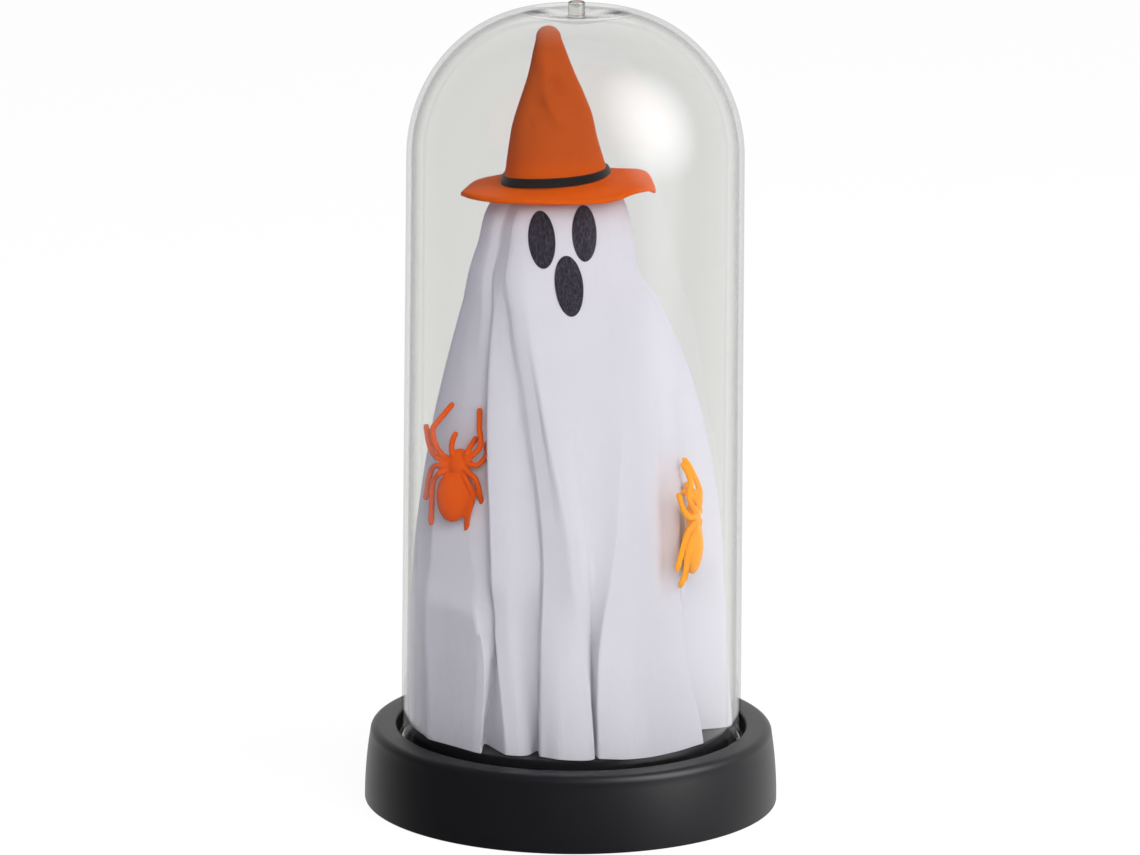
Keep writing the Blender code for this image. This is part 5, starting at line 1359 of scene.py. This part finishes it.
# The ribbon droops on the left and is pulled narrow on the right: bearing and half width of each
BAND_SAG = 0.9 * MM
BAND_SAG_AT = (-90, 50)
BAND_PINCH = 0.4
BAND_PINCH_AT = (95, 40)
BAND_INSET = 0.1 * MM
BAND_STAND = 0.3 * MM
BAND_ROUNDING = 0.15 * MM
CONE_ROWS = 90
TIP_ROWS = 14
INSIDE_ROWS = 60
BRIM_ROWS = 16
BRIM_MARGIN = 1.5 * MM
BRIM_SEAT = 0.6 * MM
BRIM_FILLET = 0.6 * MM
OPENING_FILLET = 0.4 * MM
HOLLOW_FROM = 4 * MM


def hat_matrix(hat, brim_rise):
    """The hat's frame: origin at the brim's middle, leaning to the left about the head's centre."""
    lean = Matrix.Rotation(-hat.tilt, 4, "Y")
    return Matrix.Translation((HEAD_X, 0, HEAD_Z)) @ lean @ Matrix.Translation((0, 0, brim_rise))


def bearings(points):
    """Degrees round the hat's axis from the front, positive to the right."""
    return np.degrees(np.arctan2(points[..., 0], -points[..., 1]))


def crumpled(points, hat):
    """The hat as it was bent in handling.

    Outside the cone's foot the brim's edge rises and reaches out by its table, growing with the
    square of the way out. Above the foot the wall swells and is dented: each dent is a bell of
    the distance, on the unrolled cone, from a line between its two ends.
    """
    points = points.copy()
    radius = np.hypot(points[..., 0], points[..., 1])
    bearing = bearings(points)
    height = points[..., 2]
    grown = np.clip((radius - hat.cone_radius) / (hat.brim_radius - hat.cone_radius), 0, None) ** 2
    edge = np.array(BRIM_EDGE)
    at_edge = np.interp(bearing.ravel(), edge[:, 0], np.arange(len(edge)))
    rise, reach = smooth_table(edge[:, 1:], at_edge).T
    foot = eased(hat.band_height, 3 * hat.band_height, height)
    out = CONE_SWELL * bump_at(height, CONE_SWELL_Z, CONE_SWELL_HALF)
    out += HAT_NOISE * lattice_noise(points, HAT_NOISE_CELL, HAT_SEED)
    for start, start_z, end, end_z, half_width, depth in CONE_DENTS:
        middle = (start + end) / 2
        away = (bearing - middle + 180) % 360 - 180
        at = np.stack([np.radians(away) * radius, height], axis=-1)
        mean_r = hat.cone_radius * (1 - (start_z + end_z) / 2 / hat.height)
        first = np.array([math.radians(start - middle) * mean_r, start_z])
        span = np.array([math.radians(end - middle) * mean_r, end_z]) - first
        t = np.clip(((at - first) @ span) / (span @ span), 0, 1)
        gap = np.linalg.norm(at - first - t[..., None] * span, axis=-1)
        out += depth * bump_at(gap, 0, half_width)
    shift = out * foot + reach.reshape(radius.shape) * grown
    factor = 1 + shift / np.maximum(radius, hat.tip_radius)
    points[..., 0] *= factor
    points[..., 1] *= factor
    points[..., 2] += rise.reshape(radius.shape) * grown
    return points


class CLOCHE_OT_hat(bpy.types.Operator):
    """Shapes the orange hat and its ribbon band"""

    bl_idname = "cloche.make_hat"
    bl_label = "Hat and band"

    def execute(self, context):
        """A profile carried round the hat's axis: rounded tip, cone, brim and the hollow inside."""
        hat = context.scene.cloche_hat
        cloth = context.scene.cloche_cloth
        half = hat.brim_thickness / 2
        head_r = HEAD_R + cloth.stand_off
        brim_rise = math.sqrt(head_r**2 - hat.opening_radius**2) + BRIM_SEAT + half
        tip_foot = hat.height - hat.tip_radius
        slope = (hat.cone_radius - hat.tip_radius) / tip_foot
        heights = np.linspace(tip_foot, half + BRIM_MARGIN, CONE_ROWS)
        cone = np.stack([hat.cone_radius - slope * heights, heights], axis=1)
        turn = np.linspace(0, math.pi / 2, TIP_ROWS)[:-1]
        tip = (0, tip_foot) + hat.tip_radius * np.stack([np.sin(turn), np.cos(turn)], axis=1)
        brim = rounded_profile(
            [
                (cone[-1, 0], cone[-1, 1], 0),
                (hat.cone_radius, half, BRIM_FILLET),
                (hat.brim_radius, half, half * ROUNDING_KEPT),
                (hat.brim_radius, -half, half * ROUNDING_KEPT),
                (hat.opening_radius, -half, OPENING_FILLET),
                (hat.cone_radius - hat.wall - slope * HOLLOW_FROM, HOLLOW_FROM, 0),
            ]
        )
        across = np.linspace(hat.cone_radius + BRIM_MARGIN, hat.brim_radius - BRIM_MARGIN, BRIM_ROWS)
        upper = np.stack([across, np.full_like(across, half)], axis=1)
        lower = np.stack([across[::-1], np.full_like(across, -half)], axis=1)
        root, edge, under = np.split(brim[1:], (CORNER_POINTS, 3 * CORNER_POINTS))
        brim = np.concatenate([root, upper, edge, lower, under])
        inner_heights = np.linspace(HOLLOW_FROM + 0.5 * MM, tip_foot - hat.wall, INSIDE_ROWS)
        inner = np.stack([hat.cone_radius - slope * inner_heights - hat.wall, inner_heights], axis=1)
        profile = np.concatenate([tip, cone, brim, inner, [(0, tip_foot - hat.wall)]])
        matrix = hat_matrix(hat, brim_rise)
        points = moved(crumpled(turned_points(profile, HAT_STEPS), hat), matrix)
        body = shade(weld(grid_object("witch_hat", points)), 60)
        finish = context.scene.cloche_finish
        middle_z = HEAD_Z + brim_rise
        # The brim's and the cone's oranges differ by painted glow and a painted reflection
        foam = hat_foam(finish.hat, finish.brim, middle_z + half, middle_z + 4 * hat.band_height)
        dress(body, foam, "root", "hat_vinyl", "hat_body")
        low = half + hat.band_rise
        high = low + hat.band_height
        outer = BAND_STAND + hat.band_thickness
        high_r, low_r = (hat.cone_radius - slope * height for height in (high, low))
        ribbon = [
            (high_r + BAND_INSET, high, 0),
            (high_r + outer, high, BAND_ROUNDING),
            (low_r + outer, low, BAND_ROUNDING),
            (low_r + BAND_INSET, low, 0),
        ]
        ring = rounded_profile(ribbon)
        ring = np.concatenate([ring, ring[:1]])
        loop = turned_points(ring, HAT_STEPS)
        bearing = bearings(loop)
        pinch = 1 - BAND_PINCH * bump_at(bearing, *BAND_PINCH_AT)
        sag = BAND_SAG * bump_at(bearing, *BAND_SAG_AT)
        loop[..., 2] = high - (high - loop[..., 2]) * pinch - sag
        band = weld(grid_object("ribbon_band", moved(loop, matrix)))
        dull = {"Specular IOR Level": 0.15}
        satin = plain_finish(
            "black_satin_ribbon",
            finish.ribbon,
            roughness=0.4,
            grain=0.3 * MM,
            depth=0.02 * MM,
            spread=0.15,
            extra=dull,
        )
        dress(shade(band, 60), satin, "root", "ribbon", "hat_band")
        return {"FINISHED"}


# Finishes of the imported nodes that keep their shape: name (what it is and how it was made), colour,
# roughness, grain and depth in millimetres, more settings, and the nodes
WORKINGS = (
    ("black_acetal", "#202022", 0.45, 0.4, 0.01, {}, ("switch_slider",)),
    (
        "nickelled_steel",
        "#C9CACC",
        0.28,
        0.2,
        0.004,
        {"metallic": 1.0},
        (
            *(f"cover_screw_{k + 1}" for k in range(COVER_SCREW_COUNT)),
            *("board_screw_1", "board_screw_2", "post_screw"),
            *(f"contact_spring_{k + 1}" for k in range(3)),
            *(f"contact_plate_{k + 1}" for k in range(4)),
        ),
    ),
    ("printed_pvc_sleeve", "#2F5E46", 0.35, 0.4, 0.004, {}, ("battery_1", "battery_2", "battery_3")),
    ("green_board_laminate", "#1E5B34", 0.4, 0.4, 0.01, {}, ("led_board",)),
    (
        "clear_epoxy",
        "#F4F4F0",
        0.15,
        1,
        0.0,
        {"extra": {"Transmission Weight": 0.7, "IOR": 1.5}},
        ("led",),
    ),
    ("red_pvc_lead", "#B01818", 0.45, 0.4, 0.004, {}, ("wire_battery_plus", "wire_switch_board")),
    ("black_pvc_lead", "#161616", 0.45, 0.4, 0.004, {}, ("wire_battery_minus",)),
    ("white_polypropylene", "#EDECE8", 0.5, 0.5, 0.01, {"spread": 0.03}, ("support_post",)),
    ("moulded_eps_foam", "#F0EFEA", 0.9, 3, 0.25, {"spread": 0.04}, ("head_ball",)),
)


class CLOCHE_OT_workings(bpy.types.Operator):
    """Gives the cover, the cells, the switch, the light and the post their finishes"""

    bl_idname = "cloche.finish_workings"
    bl_label = "Workings"

    def execute(self, context):
        """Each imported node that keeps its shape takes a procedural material."""
        cover = satin_abs("textured_black_abs", context.scene.cloche_finish.cover)
        finish_nodes(("bottom_cover", "battery_door", "switch_body"), cover)
        for name, rgb, roughness, grain, depth, more, nodes in WORKINGS:
            finish = plain_finish(name, linear(rgb), roughness, grain * MM, depth * MM, **more)
            finish_nodes(nodes, finish)
        return {"FINISHED"}


FLOOR_HALF = 6.0
FLOOR_DROP = 0.1 * MM
# The floor is part paper, which takes the shadow, and part its own even white
FLOOR_PAPER = (0.45, 0.45, 0.45, 1.0)
FLOOR_WHITE = 1.1
FLOOR_WHITE_SHARE = 0.85
# The surround that reflections show is bright behind the object and dark in front and above
BACKDROP_SIDE = (0.28, 0.96, -0.35)
BACKDROP_FROM = -0.1
BACKDROP_TO = 0.9
BACKDROP_LEAST = 0.1
# A straight look through the dome passes both sides of both its walls
CLEAR_FACES = 4
LAMP_AIM = (0.0, 0.0, 0.1)
KEY_PLACE = (0.82, -0.46, 0.62)
KEY_SIZE = (1.6, 2.2)
FRONT_PLACE = (0.15, -1.05, 0.6)
FRONT_SIZE = (1.0, 1.0)
AMBIENT_TINT = (0.94, 0.93, 1.18, 1.0)
# Mean over a square of a smooth fall from 1 in its middle to 0 at its sides
LAMP_MEAN = 0.236
# Each step's name, operation and two inputs, which are light path outputs, steps or numbers
RAY_STEPS = (
    ("unscattered", "LESS_THAN", "Diffuse Depth", 0.5),
    ("unmirrored", "LESS_THAN", "Glossy Depth", 0.5),
    ("few_faces", "LESS_THAN", "Transmission Depth", CLEAR_FACES + 0.5),
    ("seen", "MAXIMUM", "Is Camera Ray", "Is Transmission Ray"),
    ("seen_plainly", "MULTIPLY", "seen", "unscattered"),
    ("unbent", "MULTIPLY", "unmirrored", "few_faces"),
    ("straight", "MULTIPLY", "seen_plainly", "unbent"),
    ("thrown", "MAXIMUM", "Is Glossy Ray", "Is Transmission Ray"),
    ("thrown_plainly", "MULTIPLY", "thrown", "unscattered"),
    ("turned_off", "LESS_THAN", "straight", 0.5),
    ("mirrored", "MULTIPLY", "thrown_plainly", "turned_off"),
)


def ray_kinds(tree):
    """Two switches: 1 where the camera looks straight or only through the clear dome, and 1 where
    it sees a reflection.

    A ray that mirrors inside the dome's wall leaves it as a transmitted one, so the last ray's
    kind doesn't tell the two apart, and the counts of bounces do.
    """
    found = {socket.name: socket for socket in add_node(tree, "ShaderNodeLightPath").outputs}
    for name, operation, *pair in RAY_STEPS:
        values = {k: found.get(value, value) for k, value in enumerate(pair)}
        found[name] = add_node(tree, "ShaderNodeMath", {"operation": operation}, values).outputs[0]
    return found["straight"], found["mirrored"]


def soft_lamp(name, place, size, power):
    """A large lamp whose light falls off smoothly to its sides, so that its reflection is soft."""
    lamp = bpy.data.lights.new(name, "AREA")
    lamp.shape = "RECTANGLE"
    lamp.size, lamp.size_y = size
    lamp.energy = power
    lamp.use_nodes = True
    tree = lamp.node_tree
    tree.nodes.clear()
    spot = add_node(tree, "ShaderNodeNewGeometry").outputs["Parametric"]
    middle = (0.5, 0.5, 0.0)
    out = add_node(tree, "ShaderNodeVectorMath", {"operation": "DISTANCE"}, {0: spot, 1: middle})
    fall = add_node(
        tree,
        "ShaderNodeMapRange",
        {"interpolation_type": "SMOOTHSTEP"},
        {
            "Value": out.outputs["Value"],
            "From Min": 0.0,
            "From Max": 0.5,
            "To Min": 1 / LAMP_MEAN,
            "To Max": 0.0,
        },
    )
    light = add_node(tree, "ShaderNodeEmission", inputs={"Strength": fall.outputs["Result"]})
    add_node(tree, "ShaderNodeOutputLight", inputs={"Surface": light.outputs[0]})
    item = bpy.data.objects.new(name, lamp)
    item.location = place
    item.rotation_euler = (Vector(LAMP_AIM) - Vector(place)).to_track_quat("-Z", "Y").to_euler()
    bpy.context.scene.collection.objects.link(item)
    return item


class CLOCHE_OT_stage(bpy.types.Operator):
    """Sets the pale floor, the camera and the soft studio light"""

    bl_idname = "cloche.set_stage"
    bl_label = "Stage"

    def execute(self, context):
        """A white floor that keeps the shadow but isn't mirrored, a white surround and two lamps."""
        stage = context.scene.cloche_stage
        reach = np.array([-FLOOR_HALF, FLOOR_HALF])
        x, y = np.meshgrid(reach, reach, indexing="ij")
        points = np.stack([x, y, np.full_like(x, -FLOOR_DROP)], axis=-1)
        floor = grid_object("floor", points, wrap=False)
        made, tree, output, _ = new_material("white_floor")
        straight, mirrored = ray_kinds(tree)
        paper = add_node(tree, "ShaderNodeBsdfDiffuse", inputs={"Color": FLOOR_PAPER})
        light = add_node(tree, "ShaderNodeEmission", inputs={"Strength": FLOOR_WHITE})
        kept = add_node(
            tree, "ShaderNodeMath", {"operation": "MULTIPLY"}, {0: straight, 1: FLOOR_WHITE_SHARE}
        )
        mixed = add_node(
            tree,
            "ShaderNodeMixShader",
            inputs={0: kept.outputs[0], 1: paper.outputs[0], 2: light.outputs[0]},
        )
        clear = add_node(tree, "ShaderNodeBsdfTransparent")
        below = add_node(tree, "ShaderNodeNewGeometry")
        unseen = add_node(
            tree,
            "ShaderNodeMath",
            {"operation": "MAXIMUM"},
            {0: below.outputs["Backfacing"], 1: mirrored},
        )
        sided = add_node(
            tree,
            "ShaderNodeMixShader",
            inputs={0: unseen.outputs[0], 1: mixed.outputs[0], 2: clear.outputs[0]},
        )
        tree.links.new(sided.outputs[0], output.inputs["Surface"])
        floor.data.materials.append(made)
        world = bpy.data.worlds.new("studio")
        context.scene.world = world
        world.use_nodes = True
        tree = world.node_tree
        tree.nodes.clear()
        straight, mirrored = ray_kinds(tree)
        way = add_node(tree, "ShaderNodeTexCoord").outputs["Generated"]
        toward = add_node(
            tree, "ShaderNodeVectorMath", {"operation": "DOT_PRODUCT"}, {0: way, 1: BACKDROP_SIDE}
        )
        backdrop = add_node(
            tree,
            "ShaderNodeMapRange",
            inputs={
                "Value": toward.outputs["Value"],
                "From Min": BACKDROP_FROM,
                "From Max": BACKDROP_TO,
                "To Min": BACKDROP_LEAST,
            },
        )
        even = add_node(
            tree,
            "ShaderNodeMix",
            inputs={"Factor": mirrored, 2: stage.ambient, 3: backdrop.outputs["Result"]},
        )
        strength = add_node(
            tree, "ShaderNodeMix", inputs={"Factor": straight, 2: even.outputs[0], 3: 1.0}
        )
        plain = add_node(tree, "ShaderNodeMath", {"operation": "MAXIMUM"}, {0: straight, 1: mirrored})
        tint = add_node(
            tree,
            "ShaderNodeMix",
            {"data_type": "RGBA"},
            {"Factor": plain.outputs[0], 6: AMBIENT_TINT, 7: (1.0, 1.0, 1.0, 1.0)},
        )
        sky = add_node(
            tree,
            "ShaderNodeBackground",
            inputs={"Strength": strength.outputs[0], "Color": tint.outputs[2]},
        )
        world_out = add_node(tree, "ShaderNodeOutputWorld", inputs={"Surface": sky.outputs[0]})
        world_out.is_active_output = True
        key = soft_lamp("key", KEY_PLACE, KEY_SIZE, stage.key_power)
        front = soft_lamp("front", FRONT_PLACE, FRONT_SIZE, stage.front_power)
        front.visible_glossy = False
        key.visible_transmission = front.visible_transmission = False
        camera = bpy.data.cameras.new("camera")
        camera.lens = stage.lens
        camera.sensor_width = 36.0
        camera.shift_x = stage.shift
        item = bpy.data.objects.new("camera", camera)
        turn = Matrix.Rotation(math.pi / 2 - stage.aim, 4, "X") @ Matrix.Rotation(stage.roll, 4, "Z")
        item.matrix_world = Matrix.Translation((0, -stage.camera_distance, stage.camera_height)) @ turn
        context.scene.collection.objects.link(item)
        context.scene.camera = item
        context.scene.view_settings.view_transform = "Standard"
        return {"FINISHED"}


STEPS = (
    CLOCHE_OT_stage,
    CLOCHE_OT_base,
    CLOCHE_OT_dome,
    CLOCHE_OT_cloth,
    CLOCHE_OT_spiders,
    CLOCHE_OT_hat,
    CLOCHE_OT_workings,
)
SETTINGS = {
    "cloche_base": BaseSettings,
    "cloche_dome": DomeSettings,
    "cloche_cloth": ClothSettings,
    "cloche_hat": HatSettings,
    "cloche_spider": SpiderSettings,
    "cloche_finish": FinishSettings,
    "cloche_stage": StageSettings,
}


class CLOCHE_PT_panel(bpy.types.Panel):
    """Lists the makers and their settings"""

    bl_idname = "CLOCHE_PT_panel"
    bl_label = "Ghost cloche"
    bl_space_type = "VIEW_3D"
    bl_region_type = "UI"
    bl_category = "Cloche"

    def draw(self, context):
        """One button for each maker, then each group's values."""
        for step in STEPS:
            self.layout.operator(step.bl_idname)
        for key, group in SETTINGS.items():
            box = self.layout.box()
            for name in group.__annotations__:
                box.prop(getattr(context.scene, key), name)


def register():
    """Registers the classes and hangs the settings on the scene."""
    for group in SETTINGS.values():
        bpy.utils.register_class(group)
    for key, group in SETTINGS.items():
        setattr(bpy.types.Scene, key, PointerProperty(type=group))
    for made in (*STEPS, CLOCHE_PT_panel):
        bpy.utils.register_class(made)


def unregister():
    """Undoes register."""
    for made in (CLOCHE_PT_panel, *reversed(STEPS)):
        bpy.utils.unregister_class(made)
    for key, group in SETTINGS.items():
        delattr(bpy.types.Scene, key)
        bpy.utils.unregister_class(group)


def main():
    """Makes every piece in order."""
    register()
    for step in STEPS:
        group, name = step.bl_idname.split(".")
        getattr(getattr(bpy.ops, group), name)()
    bpy.context.view_layer.update()


if __name__ == "__main__":
    main()
